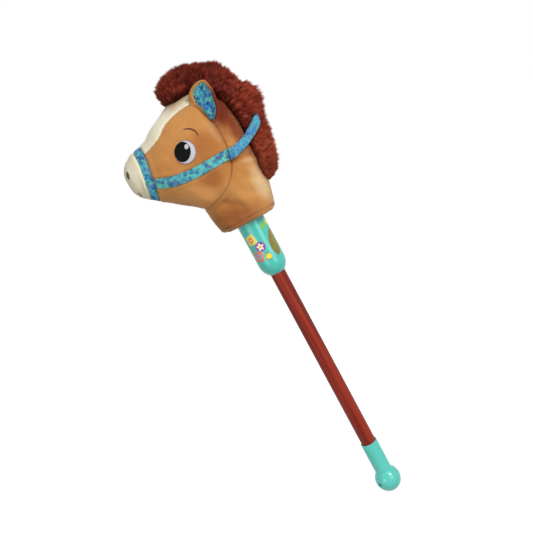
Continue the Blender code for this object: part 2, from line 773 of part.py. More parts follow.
def mane():
    """A closed ridge. Each section follows the cloth below and is a rounded arch above."""
    stations = np.array([row[0] for row in MANE_HEIGHTS])
    heights = np.array([row[1] for row in MANE_HEIGHTS])
    crest, out = crest_frame(stations)
    turns = np.arange(-MANE_ROOT_COLUMNS, MANE_ROOT_COLUMNS + 1) * math.pi / AROUND
    arch = np.radians(np.linspace(MANE_ARCH, -MANE_ARCH, len(turns)))
    sections = []
    for station, height, top, up in zip(stations, heights, crest, out):
        under = skin(np.full(len(turns), station), math.pi - np.abs(turns))
        under[:, 1] *= np.sign(turns)
        under += up * MANE_GAP
        foot = float((under[0] - top) @ up)
        rise = foot + (height - foot) * np.cos(arch) ** 0.8
        wide = min(MANE_HALF_WIDTH, under[-1, 1] * 1.25)
        over = top + up * rise[:, None]
        over[:, 1] = wide * np.sin(arch)
        sections.append(np.vstack([under, over]))
    count = len(sections[0])
    faces = split_faces(len(sections), count, MANE_ROOT_COLUMNS, closed=True)
    for base in (0, (len(sections) - 1) * count):
        for j in range(len(turns) - 1):
            a, b = base + j, base + j + 1
            c, d = base + count - 2 - j, base + count - 1 - j
            faces += [(a, b, c), (a, c, d)]
    mesh = mesh_from("mane", np.concatenate(sections), [], faces)
    turn_outward(mesh)
    add_part("mane", mesh, (MANE_BROWN, 0.9))


def laid_sheet(points, width, columns=3):
    """A flat strip in the plane of the side view, as wide as given, along the given points."""
    way = np.gradient(points, axis=0)
    way /= np.linalg.norm(way, axis=1)[:, None]
    across = np.stack([-way[:, 1], way[:, 0]], 1)
    steps = np.linspace(-0.5, 0.5, columns) * width
    return points[:, None, :] + across[:, None, :] * steps[None, :, None]


def laid_disc(place, size, turn, rings, sides):
    """An ellipse in the plane of the side view, as rings of points about its middle."""
    angle = np.arange(sides) * math.tau / sides
    share = np.linspace(0.0, 1.0, rings + 1)[1:]
    x = share[:, None] * np.cos(angle) * size[0] / 2
    z = share[:, None] * np.sin(angle) * size[1] / 2
    turned_x = x * math.cos(turn) - z * math.sin(turn)
    turned_z = x * math.sin(turn) + z * math.cos(turn)
    return np.stack([turned_x, turned_z], -1) + np.array(place)


def disc_faces(rings, sides):
    """Faces of rings about one middle point, which comes first."""
    faces = [(0, 1 + j, 1 + (j + 1) % sides) for j in range(sides)]
    for a, b, c, d in grid_faces(rings, sides, closed=True):
        faces.append((a + 1, b + 1, c + 1))
        faces.append((a + 1, c + 1, d + 1))
    return faces


def lay_on_skin(name, flat, faces, side, lift, thickness, look, guide):
    """Projects a flat sheet on the form from its side and gives it a wall."""
    reach = 1.5 * max(row[4] for row in STATIONS)
    points = np.stack([flat[:, 0], np.full(len(flat), side * reach), flat[:, 1] + NECK_BASE], 1)
    mesh = mesh_from(name, points, [], faces)
    face_side(mesh, side)
    part = add_part(name, mesh, look)
    wrap = part.modifiers.new("lie_on_form", "SHRINKWRAP")
    wrap.wrap_method = "PROJECT"
    wrap.wrap_mode = "ABOVE_SURFACE"
    wrap.use_project_y = True
    wrap.use_negative_direction = True
    wrap.use_positive_direction = True
    wrap.target = guide
    wrap.offset = lift
    solidify(part, thickness, 1.0)
    return part


def face_side(mesh, side):
    """Turns a flat sheet's faces to the given side, -1 for the left and 1 for the right."""
    shape = bmesh.new()
    shape.from_mesh(mesh)
    bmesh.ops.recalc_face_normals(shape, faces=shape.faces)
    total = sum(face.normal.y for face in shape.faces)
    if total * side < 0:
        bmesh.ops.reverse_faces(shape, faces=shape.faces)
    shape.to_mesh(mesh)
    shape.free()


def face_details(guide):
    """Eyes, brows, nostrils and mouth, as layers of thread on the cloth."""
    layer = PATCH_THICKNESS + PATCH_GAP
    white_place = np.array(EYE_PLACE) + EYE_WHITE_SHIFT
    glint_place = np.array(EYE_PLACE) + GLINT_SHIFT
    discs = (
        ("eye_white_", white_place, EYE_WHITE_SIZE, 0.0, 3, 20, 0, WHITE),
        ("eye_pupil_", EYE_PLACE, PUPIL_SIZE, EYE_TURN, 2, 18, 1, BLACK),
        ("eye_glint_", glint_place, GLINT_SIZE, EYE_TURN, 1, 12, 2, WHITE),
        ("nostril_", NOSTRIL_PLACE, NOSTRIL_SIZE, NOSTRIL_TURN, 2, 12, 0, GREY_BROWN),
    )
    lines = (
        ("brow_", BROW_ROUTE, BROW_WIDTH, 7, MAROON),
        ("mouth_", MOUTH_ROUTE, MOUTH_WIDTH, 6, MAROON),
    )
    for word, side in SIDES:
        for name, place, size, turn, rings, sides, level, colour in discs:
            flat = laid_disc(place, size, turn, rings, sides).reshape(-1, 2)
            flat = np.vstack([np.array(place)[None], flat])
            lift = PATCH_GAP + level * layer
            look = (colour, 0.5)
            lay_on_skin(
                name + word, flat, disc_faces(rings, sides), side, lift, PATCH_THICKNESS, look, guide
            )
        for name, points, width, count, colour in lines:
            strip = laid_sheet(route(points, count), width)
            faces = grid_faces(count, strip.shape[1])
            flat = strip.reshape(-1, 2)
            look = (colour, 0.5)
            lay_on_skin(name + word, flat, faces, side, PATCH_GAP, PATCH_THICKNESS, look, guide)


def bridle(guide):
    """The noseband round the muzzle and a cheek strap on each side."""
    band = ring_points(NOSEBAND_ROWS)
    faces = split_faces(len(NOSEBAND_ROWS), 2 * AROUND, AROUND, closed=True)
    mesh = mesh_from("noseband", band.reshape(-1, 3), [], faces)
    face_away(mesh)
    noseband = add_part("noseband", mesh, (PRINT_BLUE, 0.7))
    lift = noseband.modifiers.new("over_cloth", "DISPLACE")
    lift.mid_level = 0.0
    lift.strength = NOSEBAND_GAP
    solidify(noseband, STRAP_THICKNESS, 1.0)
    strip = laid_sheet(route(CHEEK_STRAP_ROUTE, CHEEK_STRAP_ROWS), STRAP_WIDTH, 5)
    faces = grid_faces(CHEEK_STRAP_ROWS, strip.shape[1])
    for word, side in SIDES:
        flat = strip.reshape(-1, 2)
        look = (PRINT_BLUE, 0.7)
        lay_on_skin(
            "cheek_strap_" + word, flat, faces, side, STRAP_GAP, STRAP_THICKNESS, look, guide
        )


def rein():
    """One loop of webbing from stitch to stitch, round the back of the mane. Each end is a
    round tab about the stitch's axis."""
    pivot = add_pivot("rein_axis", (REIN_AXIS[0], 0.0, NECK_BASE + REIN_AXIS[1]))
    half = route(REIN_ROUTE, REIN_ROWS)
    left = half * np.array([1.0, -1.0, 1.0])
    path = np.vstack([left, half[-2::-1]])
    path[:, 2] += NECK_BASE
    way = np.gradient(path, axis=0)
    way /= np.linalg.norm(way, axis=1)[:, None]
    share = 1 - np.abs(np.linspace(-1, 1, len(path)))
    lean = REIN_TILT * share**2
    wide = np.stack([lean, np.zeros(len(path)), np.ones(len(path))], 1)
    wide -= (wide * way).sum(1)[:, None] * way
    wide /= np.linalg.norm(wide, axis=1)[:, None]
    spread = np.full(len(path), STRAP_WIDTH / 2)
    turns = np.radians(REIN_TAB_TURNS)
    reach = STRAP_WIDTH / 2 * np.sin(turns)
    narrow = STRAP_WIDTH / 2 * np.cos(turns)
    start = path[0] - way[0] * reach[::-1, None]
    finish = path[-1] + way[-1] * reach[:, None]
    path = np.vstack([start, path, finish])
    wide = np.vstack([np.tile(wide[0], (len(turns), 1)), wide, np.tile(wide[-1], (len(turns), 1))])
    spread = np.r_[narrow[::-1], spread, narrow]
    steps = np.array([-1.0, 1.0])
    points = path[:, None, :] + wide[:, None, :] * (spread[:, None] * steps)[:, :, None]
    mesh = mesh_from("rein_loop", points.reshape(-1, 3), [], grid_faces(len(path), len(steps)))
    face_away(mesh, (REIN_AXIS[0], REIN_AXIS[1]))
    mesh.transform(Matrix.Translation(-pivot.location))
    loop = add_part("rein_loop", mesh, (PRINT_BLUE, 0.7), parent=pivot)
    solidify(loop, STRAP_THICKNESS, 1.0)
    for word, side in SIDES:
        name = "rein_stitch_" + word
        y = side * (REIN_ROUTE[0][1] + STRAP_THICKNESS + FIT_GAP + STITCH_DIAMETER / 2)
        place = (REIN_AXIS[0], y, NECK_BASE + REIN_AXIS[1])
        thread = cylinder_mesh(name, STITCH_DIAMETER / 2, STITCH_LENGTH, 8)
        add_part(name, thread, (BLACK, 0.6), place)


def ear_points(outline, rings, side, lift, hinge):
    """Rings of an ear's leaf. A point's side distance grows with its distance from the hinge
    line, and the leaf is cupped: its middle lies further back than its edge."""
    foot, brow = hinge
    middle = outline.mean(0)
    flat = middle + (outline - middle)[None] * np.array(rings)[:, None, None]
    flat = np.vstack([middle[None], flat.reshape(-1, 2)])
    ring = np.r_[0.0, np.repeat(rings, len(outline))]
    line = (brow - foot)[[0, 2]]
    line /= np.linalg.norm(line)
    away = np.array([line[1], -line[0]])
    off = (flat - foot[[0, 2]]) @ away
    along_line = (flat - foot[[0, 2]]) @ line / np.linalg.norm((brow - foot)[[0, 2]])
    bulge = 4 * EAR_BASE_BULGE * along_line * (1 - along_line)
    y = foot[1] + (brow[1] - foot[1]) * along_line - np.maximum(bulge, 0.0)
    y = y - EAR_LEAN * off + EAR_CUP * (1 - ring**2) - lift
    return np.stack([flat[:, 0], -side * y, flat[:, 1] + NECK_BASE], 1)


def ears(guide):
    """A tan leaf with a printed lining on each side, each pair turning about its base seam."""
    outline = np.array(EAR_OUTLINE)
    loop = np.vstack([outline, outline[:1]])
    outline = route(loop, EAR_STEPS + 1)[:-1]
    lining_rings = EAR_RINGS[:EAR_LINING_RINGS]
    foot = np.array([EAR_OUTLINE[0][0], 0.0, EAR_OUTLINE[0][1]])
    brow = np.array([EAR_OUTLINE[-1][0], 0.0, EAR_OUTLINE[-1][1]])
    for end in (foot, brow):
        end[1] = -skin_half_width(guide, end[0], end[2]) - EAR_GAP - EAR_BACK_THICKNESS
    for word, side in SIDES:
        centre = (foot + brow) / 2
        out = centre[1] - EAR_BASE_BULGE / 2
        pivot = add_pivot("ear_axis_" + word, (centre[0], -side * out, NECK_BASE + centre[2]))
        sheets = (
            ("ear_back_", EAR_RINGS, 0.0, EAR_BACK_THICKNESS, -1.0, TAN),
            ("ear_lining_", lining_rings, CLOTH_GAP, EAR_LINING_THICKNESS, 1.0, PRINT_BLUE),
        )
        for name, rings, lift, thickness, way, colour in sheets:
            points = ear_points(outline, rings, side, lift, (foot, brow))
            mesh = mesh_from(name + word, points, [], disc_faces(len(rings), EAR_STEPS))
            face_side(mesh, side)
            mesh.transform(Matrix.Translation(-pivot.location))
            leaf = add_part(name + word, mesh, (colour, 0.8), parent=pivot)
            solidify(leaf, thickness, way)


def skin_half_width(guide, x, z):
    """How far the form reaches to the side at a place in the side view."""
    start = Vector((x, -1.0, z + NECK_BASE))
    hit, place, _, _ = guide.ray_cast(start, Vector((0.0, 1.0, 0.0)))
    return -place.y if hit else 0.0


def skin_guide():
    """The outer surface as a guide for what lies on it, with the same facets as the panels."""
    head_rows = MUZZLE_ROWS + (NOSEBAND_MIDDLE,) + FACE_ROWS + (JOWL - ROW_GAP,)
    neck_rows = (JOWL + ROW_GAP,) + NECK_ROWS
    steps = np.r_[np.zeros(len(head_rows)), np.full(len(neck_rows), JOWL_STEP)]
    angles = np.linspace(0.0, math.pi, AROUND + 1)
    station, angle = np.meshgrid(head_rows + neck_rows, angles, indexing="ij")
    faces = split_faces(len(steps), len(angles))
    halves = [skin(station, angle, side, steps[:, None]).reshape(-1, 3) for _, side in SIDES]
    count = len(halves[0])
    both = [face[::-1] for face in faces] + [tuple(i + count for i in face) for face in faces]
    return add_cutter("skin_guide", mesh_from("skin_guide", np.vstack(halves), [], both))


def main():
    rigid_parts()
    stuffing()
    head_cloth()
    neck_base()
    mane()
    guide = skin_guide()
    bpy.context.view_layer.update()
    bridle(guide)
    rein()
    ears(guide)
    face_details(guide)


clear_scene()
PARTS = new_collection("hobby_horse")
CUTTERS = new_collection("cutters")
main()
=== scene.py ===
import math

import bmesh
import bpy
from mathutils import Matrix, Vector
import numpy as np


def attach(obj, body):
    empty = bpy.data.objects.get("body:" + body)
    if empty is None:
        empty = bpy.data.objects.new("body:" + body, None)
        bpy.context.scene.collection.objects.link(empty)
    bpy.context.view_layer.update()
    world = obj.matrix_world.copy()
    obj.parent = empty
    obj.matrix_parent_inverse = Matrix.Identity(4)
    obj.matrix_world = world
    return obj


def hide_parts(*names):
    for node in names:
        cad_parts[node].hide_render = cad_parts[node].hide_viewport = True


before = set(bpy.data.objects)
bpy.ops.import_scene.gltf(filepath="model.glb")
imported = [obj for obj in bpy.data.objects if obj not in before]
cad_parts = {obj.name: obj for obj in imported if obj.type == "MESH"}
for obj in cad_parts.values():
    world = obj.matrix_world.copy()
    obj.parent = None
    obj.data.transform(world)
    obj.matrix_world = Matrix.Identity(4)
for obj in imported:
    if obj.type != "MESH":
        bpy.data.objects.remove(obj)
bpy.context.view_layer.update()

SIDES = (("left", 1.0), ("right", -1.0))

# The stuffed form, as in the solids. Each row is a station from the nose to the neck's base:
# jaw x, jaw z, crest x, crest z, half width, and how far the section bows back as the jowl does.
STATIONS = np.array([
    (-0.1428, 0.1290, -0.1434, 0.1470, 0.0000, 0.00),
    (-0.1395, 0.1210, -0.1418, 0.1565, 0.0180, 0.00),
    (-0.1340, 0.1130, -0.1375, 0.1655, 0.0265, 0.00),
    (-0.1265, 0.1055, -0.1285, 0.1745, 0.0325, 0.00),
    (-0.1180, 0.1000, -0.1075, 0.1820, 0.0375, 0.00),
    (-0.1065, 0.0910, -0.0955, 0.1862, 0.0405, 0.00),
    (-0.0900, 0.0776, -0.0745, 0.1980, 0.0465, 0.10),
    (-0.0750, 0.0666, -0.0525, 0.2092, 0.0525, 0.26),
    (-0.0650, 0.0580, -0.0280, 0.2205, 0.0565, 0.54),
    (-0.0575, 0.0500, 0.0120, 0.2260, 0.0545, 1.00),
    (-0.0562, 0.0455, 0.0400, 0.2080, 0.0505, 0.95),
    (-0.0548, 0.0410, 0.0570, 0.1770, 0.0485, 0.80),
    (-0.0530, 0.0305, 0.0600, 0.1285, 0.0475, 0.50),
    (-0.0510, 0.0200, 0.0580, 0.0735, 0.0475, 0.22),
    (-0.0500, 0.0125, 0.0550, 0.0335, 0.0470, 0.06),
    (-0.0485, 0.0065, 0.0520, 0.0140, 0.0460, 0.00),
    (-0.0450, 0.0025, 0.0480, 0.0045, 0.0430, 0.00),
    (-0.0405, 0.0008, 0.0430, 0.0010, 0.0385, 0.00),
])
NECK_BASE = 0.5263
BOW_LOW = np.array((0.049, -0.062))
BOW_HIGH = np.array((0.046, -0.048))
SECTION_FULLNESS = 0.90
LAST_STATION = 17.0
NOSEBAND = 4.18
JOWL = 9.0
JOWL_STEP = 0.0030
UNDERLAP = 0.0020
CLOTH_WALL = 0.0012


# Finishes

class Wire:
    """A value that comes out of a node. Arithmetic on it adds Math nodes."""

    def __init__(self, finish, socket):
        self.finish = finish
        self.socket = socket

    def __add__(self, other):
        return self.finish.math("ADD", self, other)

    def __sub__(self, other):
        return self.finish.math("SUBTRACT", self, other)

    def __rsub__(self, other):
        return self.finish.math("SUBTRACT", other, self)

    def __mul__(self, other):
        return self.finish.math("MULTIPLY", self, other)

    def __truediv__(self, other):
        return self.finish.math("DIVIDE", self, other)

    __radd__ = __add__
    __rmul__ = __mul__


def linear(colour):
    """Display values from 0 to 1 as scene values."""
    values = np.asarray(colour, float)
    bright = ((values + 0.055) / 1.055) ** 2.4
    return tuple(np.where(values <= 0.04045, values / 12.92, bright)) + (1.0,)


class Finish:
    """One material on the principled shader, whose fixed values are set by name."""

    def __init__(self, name, specular=None, **fixed):
        self.material = bpy.data.materials.new(name)
        self.material.use_nodes = True
        self.nodes = self.material.node_tree.nodes
        self.links = self.material.node_tree.links
        self.shader = self.nodes["Principled BSDF"]
        if specular is not None:
            self.shader.inputs["Specular IOR Level"].default_value = specular
        for key, value in fixed.items():
            self.shader.inputs[key.replace("_", " ").title()].default_value = value

    def feed(self, socket, value):
        if isinstance(value, Wire):
            self.links.new(value.socket, socket)
        else:
            socket.default_value = value

    def node(self, kind, settings, inputs, output=0):
        """Adds a node: its settings first, then what goes into its sockets, by name or number."""
        made = self.nodes.new("ShaderNode" + kind)
        for key, value in settings.items():
            if key == "stops":
                ramp = made.color_ramp.elements
                while len(ramp) < len(value):
                    ramp.new(0.5)
                for stop, (place, colour) in zip(ramp, value):
                    stop.position = place
                    stop.color = linear(colour)
            else:
                setattr(made, key, value)
        for key, value in inputs.items():
            self.feed(made.inputs[key], value)
        return Wire(self, made.outputs[output])

    def math(self, operation, first, second=0.0, third=0.0):
        return self.node("Math", {"operation": operation}, {0: first, 1: second, 2: third})

    def place(self):
        return self.node("TexCoord", {}, {}, "Object")

    def uv(self, name):
        return self.node("UVMap", {"uv_map": name}, {})

    def parts(self, vector):
        made = self.nodes.new("ShaderNodeSeparateXYZ")
        self.feed(made.inputs[0], vector)
        return [Wire(self, made.outputs[i]) for i in range(3)]

    def join(self, x, y, z=0.0):
        return self.node("CombineXYZ", {}, {0: x, 1: y, 2: z})

    def noise(self, vector, scale, detail=2.0, rough=0.5, output=0):
        values = {"Vector": vector, "Scale": scale, "Detail": detail, "Roughness": rough}
        return self.node("TexNoise", {}, values, output)

    def ramp(self, value, stops):
        return self.node("ValToRGB", {"stops": stops}, {0: value})

    def step(self, value, low, high):
        """Runs smoothly from 0 to 1 as the value goes from low to high."""
        ends = {"Value": value, "From Min": low, "From Max": high}
        return self.node("MapRange", {"interpolation_type": "SMOOTHSTEP"}, ends)

    def mix(self, share, first, second):
        """A colour between two, given as display values or wires."""
        pair = [v if isinstance(v, Wire) else linear(v) for v in (first, second)]
        return self.node("Mix", {"data_type": "RGBA"}, {0: share, 6: pair[0], 7: pair[1]}, 2)

    def bump(self, height, distance, strength=1.0):
        values = {"Height": height, "Distance": distance, "Strength": strength}
        return self.node("Bump", {}, values)

    def set(self, **values):
        for key, value in values.items():
            self.feed(self.shader.inputs[key.replace("_", " ").title()], value)
        return self.material


def velour(name, colour, shade, light, painted_light_patches=()):
    """Short brushed pile: a soft mottle where the pile lies differently, and a fine nap. The
    patches paint light and shade into the colour: each is a soft ellipse in the side view."""
    look = Finish(name, specular=0.18, roughness=0.88, sheen_weight=0.30, sheen_roughness=0.45)
    place = look.place()
    mottle = look.noise(place, 22.0, 3.0, 0.5)
    nap = look.noise(place, 900.0, 2.0, 0.6)
    fine = look.noise(place, 3200.0, 1.0, 0.5)
    tone = look.mix(look.step(mottle, 0.25, 0.60), shade, colour)
    tone = look.mix(look.step(nap, 0.45, 0.75) * 0.35, tone, light)
    x, _, z = look.parts(place)
    ragged = look.noise(place, 45.0, 2.0, 0.5) * 0.5
    # Each patch paints shade, a highlight or a reflection into the tone, over a ragged soft ellipse
    for middle, wide, tall, tilt, other, share in painted_light_patches:
        u, v = x - middle[0], z - (middle[1] + NECK_BASE)
        c, s = math.cos(tilt), math.sin(tilt)
        level, upright = (u * c + v * s) * (1 / wide), (v * c - u * s) * (1 / tall)
        away = look.math("SQRT", level * level + upright * upright) + ragged
        tone = look.mix((1.0 - look.step(away, 0.45, 1.30)) * share, tone, other)
    tone = look.mix(look.step(fine, 0.50, 0.80) * 0.12, tone, shade)
    rough = look.bump(nap * 0.6 + fine * 0.4, 0.0006, 0.55)
    return look.set(base_color=tone, normal=rough)


def webbing(name, wash=0.0, hue=(0.26, 0.56, 0.76)):
    """A cloth printed all over in blurred patches of cyan, blue, green and violet, woven fine.
    A share of one hue washes over the print."""
    look = Finish(name, specular=0.25, roughness=0.72, sheen_weight=0.12, sheen_roughness=0.4)
    place = look.place()
    drift = look.noise(place, 60.0, 2.0, 0.5, "Color")
    bent = look.node(
        "VectorMath", {"operation": "MULTIPLY_ADD"}, {0: drift, 1: (0.006,) * 3, 2: place}
    )
    patch = look.noise(bent, 120.0, 2.0, 0.55)
    other = look.noise(bent, 175.0, 2.0, 0.6, "Color")
    green, violet, dark = look.parts(other)
    tone = look.ramp(patch, (
        (0.28, (0.14, 0.25, 0.55)),
        (0.42, (0.15, 0.42, 0.66)),
        (0.50, (0.20, 0.59, 0.73)),
        (0.58, (0.34, 0.75, 0.76)),
        (0.72, (0.20, 0.52, 0.70)),
    ))
    tone = look.mix(look.step(green, 0.51, 0.63) * 0.75, tone, (0.46, 0.80, 0.56))
    tone = look.mix(look.step(violet, 0.55, 0.64) * 0.70, tone, (0.44, 0.36, 0.72))
    tone = look.mix(look.step(dark, 0.55, 0.67) * 0.85, tone, (0.10, 0.19, 0.44))
    tone = look.mix(wash, tone, hue)
    thread = look.uv("weave")
    across, along, _ = look.parts(thread)
    wave = look.math("SINE", across * 6800.0) * look.math("SINE", along * 6800.0)
    # Painted highlight on the weave's raised crossings
    tone = look.mix(look.step(wave, 0.2, 1.0) * 0.10, tone, (0.75, 0.90, 0.95))
    return look.set(base_color=tone, normal=look.bump(wave, 0.00012, 0.6))


def plastic(name, colour, shade, art=None):
    """Moulded plastic with a faint mottle, a fine spark texture and a soft gloss, under a
    print where a function for one is given."""
    look = Finish(name, coat_weight=0.10, coat_roughness=0.15)
    place = look.place()
    cloud = look.noise(place, 28.0, 3.0, 0.5)
    grain = look.noise(place, 1500.0, 2.0, 0.5)
    scuff = look.noise(place, 220.0, 4.0, 0.7)
    tone = look.mix(look.step(cloud, 0.35, 0.70) * 0.5, colour, shade)
    if art:
        tone = art(look, tone)
    rough = 0.22 + look.step(scuff, 0.45, 0.75) * 0.12
    return look.set(base_color=tone, roughness=rough, normal=look.bump(grain, 0.00005, 0.35))


def satin_thread(name, colour, shade, turn, pitch=0.00042, matt=False):
    """Satin stitch: fine parallel threads, seen as a bump and as painted shade in the grooves
    between them.
    """
    if matt:
        look = Finish(name, specular=0.10, roughness=0.75)
    else:
        look = Finish(name, roughness=0.46, sheen_weight=0.12, sheen_roughness=0.3)
    x, _, z = look.parts(look.place())
    run = x * math.cos(turn) + z * math.sin(turn)
    wobble = look.noise(look.place(), 500.0, 1.0, 0.5)
    wave = look.math("SINE", run * (math.tau / pitch) + wobble * 5.0)
    # Painted shade in the grooves between the threads
    tone = look.mix(look.step(wave, -0.6, 0.9), shade, colour)
    return look.set(base_color=tone, normal=look.bump(wave, 0.00008, 0.8))


# Surfaces

SAME_PLACE = 1e-6


def put_mesh(name, points, faces, finish):
    """A mesh object from whole arrays of points and faces, standing at the origin."""
    faces = np.asarray(faces)
    mesh = bpy.data.meshes.new(name)
    mesh.vertices.add(len(points))
    mesh.vertices.foreach_set("co", np.ascontiguousarray(points, np.float32).ravel())
    mesh.loops.add(faces.size)
    mesh.loops.foreach_set("vertex_index", faces.ravel().astype(np.int32))
    mesh.polygons.add(len(faces))
    starts = np.arange(0, faces.size, faces.shape[1], dtype=np.int32)
    mesh.polygons.foreach_set("loop_start", starts)
    mesh.polygons.foreach_set("use_smooth", np.full(len(faces), True))
    mesh.update(calc_edges=True)
    mesh.validate()
    mesh.materials.append(finish)
    piece = bpy.data.objects.new(name, mesh)
    bpy.context.scene.collection.objects.link(piece)
    return piece


def grid_faces(rows, columns, round_rows=False, round_columns=False):
    """Four-sided faces of a grid of points that may close on itself either way."""
    i, j = np.meshgrid(
        np.arange(rows if round_rows else rows - 1),
        np.arange(columns if round_columns else columns - 1),
        indexing="ij",
    )
    k, m = (i + 1) % rows, (j + 1) % columns
    quads = np.stack([i * columns + j, i * columns + m, k * columns + m, k * columns + j], -1)
    return quads.reshape(-1, 4)


def lay_map(piece, name, uv):
    """Gives each corner of each face the map's place of its point."""
    layer = piece.data.uv_layers.new(name=name)
    corners = np.empty(len(piece.data.loops), np.int32)
    piece.data.loops.foreach_get("vertex_index", corners)
    layer.data.foreach_set("uv", uv.reshape(-1, 2)[corners].astype(np.float32).ravel())


def put_grid(name, points, finish, round_rows=False, round_columns=False, flip=False, uv=None):
    """A grid of points as a surface, with a map in metres where one is given."""
    rows, columns = points.shape[:2]
    faces = grid_faces(rows, columns, round_rows, round_columns)
    if flip:
        faces = faces[:, ::-1]
    piece = put_mesh(name, points.reshape(-1, 3), faces, finish)
    if uv is not None:
        lay_map(piece, "weave", uv)
    if min(np.ptp(points[0], axis=0).max(), np.ptp(points[-1], axis=0).max()) < SAME_PLACE:
        weld(piece)
    return piece


def weld(piece):
    """Joins the points that lie on one another, such as the row at a pole."""
    mesh = bmesh.new()
    mesh.from_mesh(piece.data)
    bmesh.ops.remove_doubles(mesh, verts=mesh.verts, dist=SAME_PLACE)
    mesh.to_mesh(piece.data)
    mesh.free()


def close_grid(name, points, finish, flip=False):
    """A tube of points, rows along it and columns round it, with a fan of faces on each end."""
    rows, columns = points.shape[:2]
    flat = points.reshape(-1, 3)
    ends = np.stack([points[0].mean(0), points[-1].mean(0)])
    quads = grid_faces(rows, columns, round_columns=True)
    j = np.arange(columns)
    m = (j + 1) % columns
    first = np.stack([np.full(columns, len(flat)), m, j], 1)
    base = (rows - 1) * columns
    last = np.stack([np.full(columns, len(flat) + 1), base + j, base + m], 1)
    split = np.concatenate([quads[:, [0, 1, 2]], quads[:, [0, 2, 3]], first, last])
    if flip:
        split = split[:, ::-1]
    return put_mesh(name, np.concatenate([flat, ends]), split, finish)


def wall(piece, thickness):
    """Gives a surface a wall on its inner side."""
    made = piece.modifiers.new("wall", "SOLIDIFY")
    made.thickness = thickness
    made.offset = -1.0
    made.use_even_offset = False
    return piece


def along(table, where):
    """Rows of a table read at fractional row numbers, on a Catmull-Rom curve."""
    rows = np.vstack([2 * table[0] - table[1], table, 2 * table[-1] - table[-2]])
    where = np.clip(where, 0.0, len(table) - 1)
    first = np.minimum(where.astype(int), len(table) - 2)
    t = (where - first)[..., None]
    a, b, c, d = (rows[first + k] for k in range(4))
    return 0.5 * (
        2 * b + (c - a) * t + (2 * a - 5 * b + 4 * c - d) * t**2 + (3 * b - a - 3 * c + d) * t**3
    )


def unit(ways):
    """The ways at a length of one."""
    return ways / np.linalg.norm(ways, axis=-1, keepdims=True)


def run_of(line):
    """How far along a line each of its points is."""
    return np.r_[0, np.cumsum(np.linalg.norm(np.diff(line, axis=0), axis=1))]


def left_of(route):
    """The way square to a route in the side view, at each of its points."""
    way = unit(np.gradient(route, axis=0))
    return np.stack([-way[:, 1], way[:, 0]], 1)


def eased(where, reach=0.35):
    """The stations' table, averaged over its neighbourhood except at its ends."""
    room = np.minimum(np.minimum(where, LAST_STATION - where), 1.0) * reach
    return sum(along(STATIONS, where + k * room) for k in (-1.0, -0.5, 0.0, 0.5, 1.0)) / 5


def form(station, turn, step=0.0):
    """The stuffed form. The turn runs from 0 on the jaw line to pi on the crest line, positive
    on the left side. x and z lie on the station's cubic curve at (1 - cos turn) / 2, and y is
    the half width, less the step, times a power of the sine, on the turn's own side."""
    row = eased(station)
    jaw, crest, width, bow = row[..., 0:2], row[..., 2:4], row[..., 4], row[..., 5:6]
    low = jaw + (crest - jaw) / 3 + bow * BOW_LOW
    high = jaw + (crest - jaw) * 2 / 3 + bow * BOW_HIGH
    t = ((1 - np.cos(turn)) / 2)[..., None]
    flat = jaw * (1 - t)**3 + 3 * low * t * (1 - t)**2 + 3 * high * t**2 * (1 - t) + crest * t**3
    sine = np.sin(turn)
    y = -(width - step) * np.sign(sine) * np.abs(sine) ** SECTION_FULLNESS
    return np.stack([flat[..., 0], y, flat[..., 1] + NECK_BASE], -1)


def outward(station, turn, step=0.0):
    """The form's unit normal: the cross product of its slopes along and round."""
    e = 0.02
    down = form(np.minimum(station + e, LAST_STATION), turn, step)
    down = down - form(np.maximum(station - e, 0.0), turn, step)
    over = form(station, turn + e, step) - form(station, turn - e, step)
    normal = np.cross(down, over)
    return normal / np.maximum(np.linalg.norm(normal, axis=-1, keepdims=True), 1e-12)


def nearest(points, marks):
    """The number of the mark nearest to each point: the least of a mark's squared length, less
    twice its product with the point."""
    size = (marks**2).sum(1)
    found = np.empty(len(points), int)
    for start in range(0, len(points), 8000):
        block = points[start:start + 8000]
        found[start:start + 8000] = (size[None] - 2 * block @ marks.T).argmin(1)
    return found


def find_on_form(x, z):
    """The station and turn on the left side whose point lies at x and z: the nearest of a
    coarse grid, then Newton's steps."""
    coarse = np.meshgrid(np.linspace(0.3, 16.7, 120), np.linspace(0.1, 3.04, 60), indexing="ij")
    seen = form(*coarse)
    target = np.stack([x, z + NECK_BASE], -1)
    flat = seen[..., [0, 2]].reshape(-1, 2)
    best = nearest(target.reshape(-1, 2), flat)
    station = coarse[0].ravel()[best].reshape(x.shape)
    turn = coarse[1].ravel()[best].reshape(x.shape)
    e = 0.002
    for _ in range(12):
        here = form(station, turn)[..., [0, 2]]
        down = (form(station + e, turn)[..., [0, 2]] - here) / e
        up = (form(station, turn + e)[..., [0, 2]] - here) / e
        miss = target - here
        area = down[..., 0] * up[..., 1] - down[..., 1] * up[..., 0]
        area = np.where(np.abs(area) < 1e-9, 1e-9, area)
        a = (miss[..., 0] * up[..., 1] - miss[..., 1] * up[..., 0]) / area
        b = (down[..., 0] * miss[..., 1] - down[..., 1] * miss[..., 0]) / area
        station = np.clip(station + np.clip(a, -0.5, 0.5), 0.02, LAST_STATION - 0.02)
        turn = np.clip(turn + np.clip(b, -0.2, 0.2), 0.02, math.pi - 0.02)
    return station, turn


# Seams as they run in the side view, from the neck's base: the edge of the blaze from the
# noseband to the ear, and the jowl seam from the ear to the jaw
BLAZE_ROUTE = np.array([
    (-0.0947, 0.1703), (-0.0783, 0.1750), (-0.0668, 0.1790), (-0.0553, 0.1875),
    (-0.0438, 0.1950), (-0.0285, 0.2005), (-0.0094, 0.2020), (0.0049, 0.2015),
])
JOWL_ROUTE = np.array([
    (0.0217, 0.1622), (0.0221, 0.1511), (0.0222, 0.1400), (0.0213, 0.1233),
    (0.0175, 0.0975), (0.0120, 0.0845), (0.0010, 0.0710), (-0.0170, 0.0590), (-0.0362, 0.0517),
])


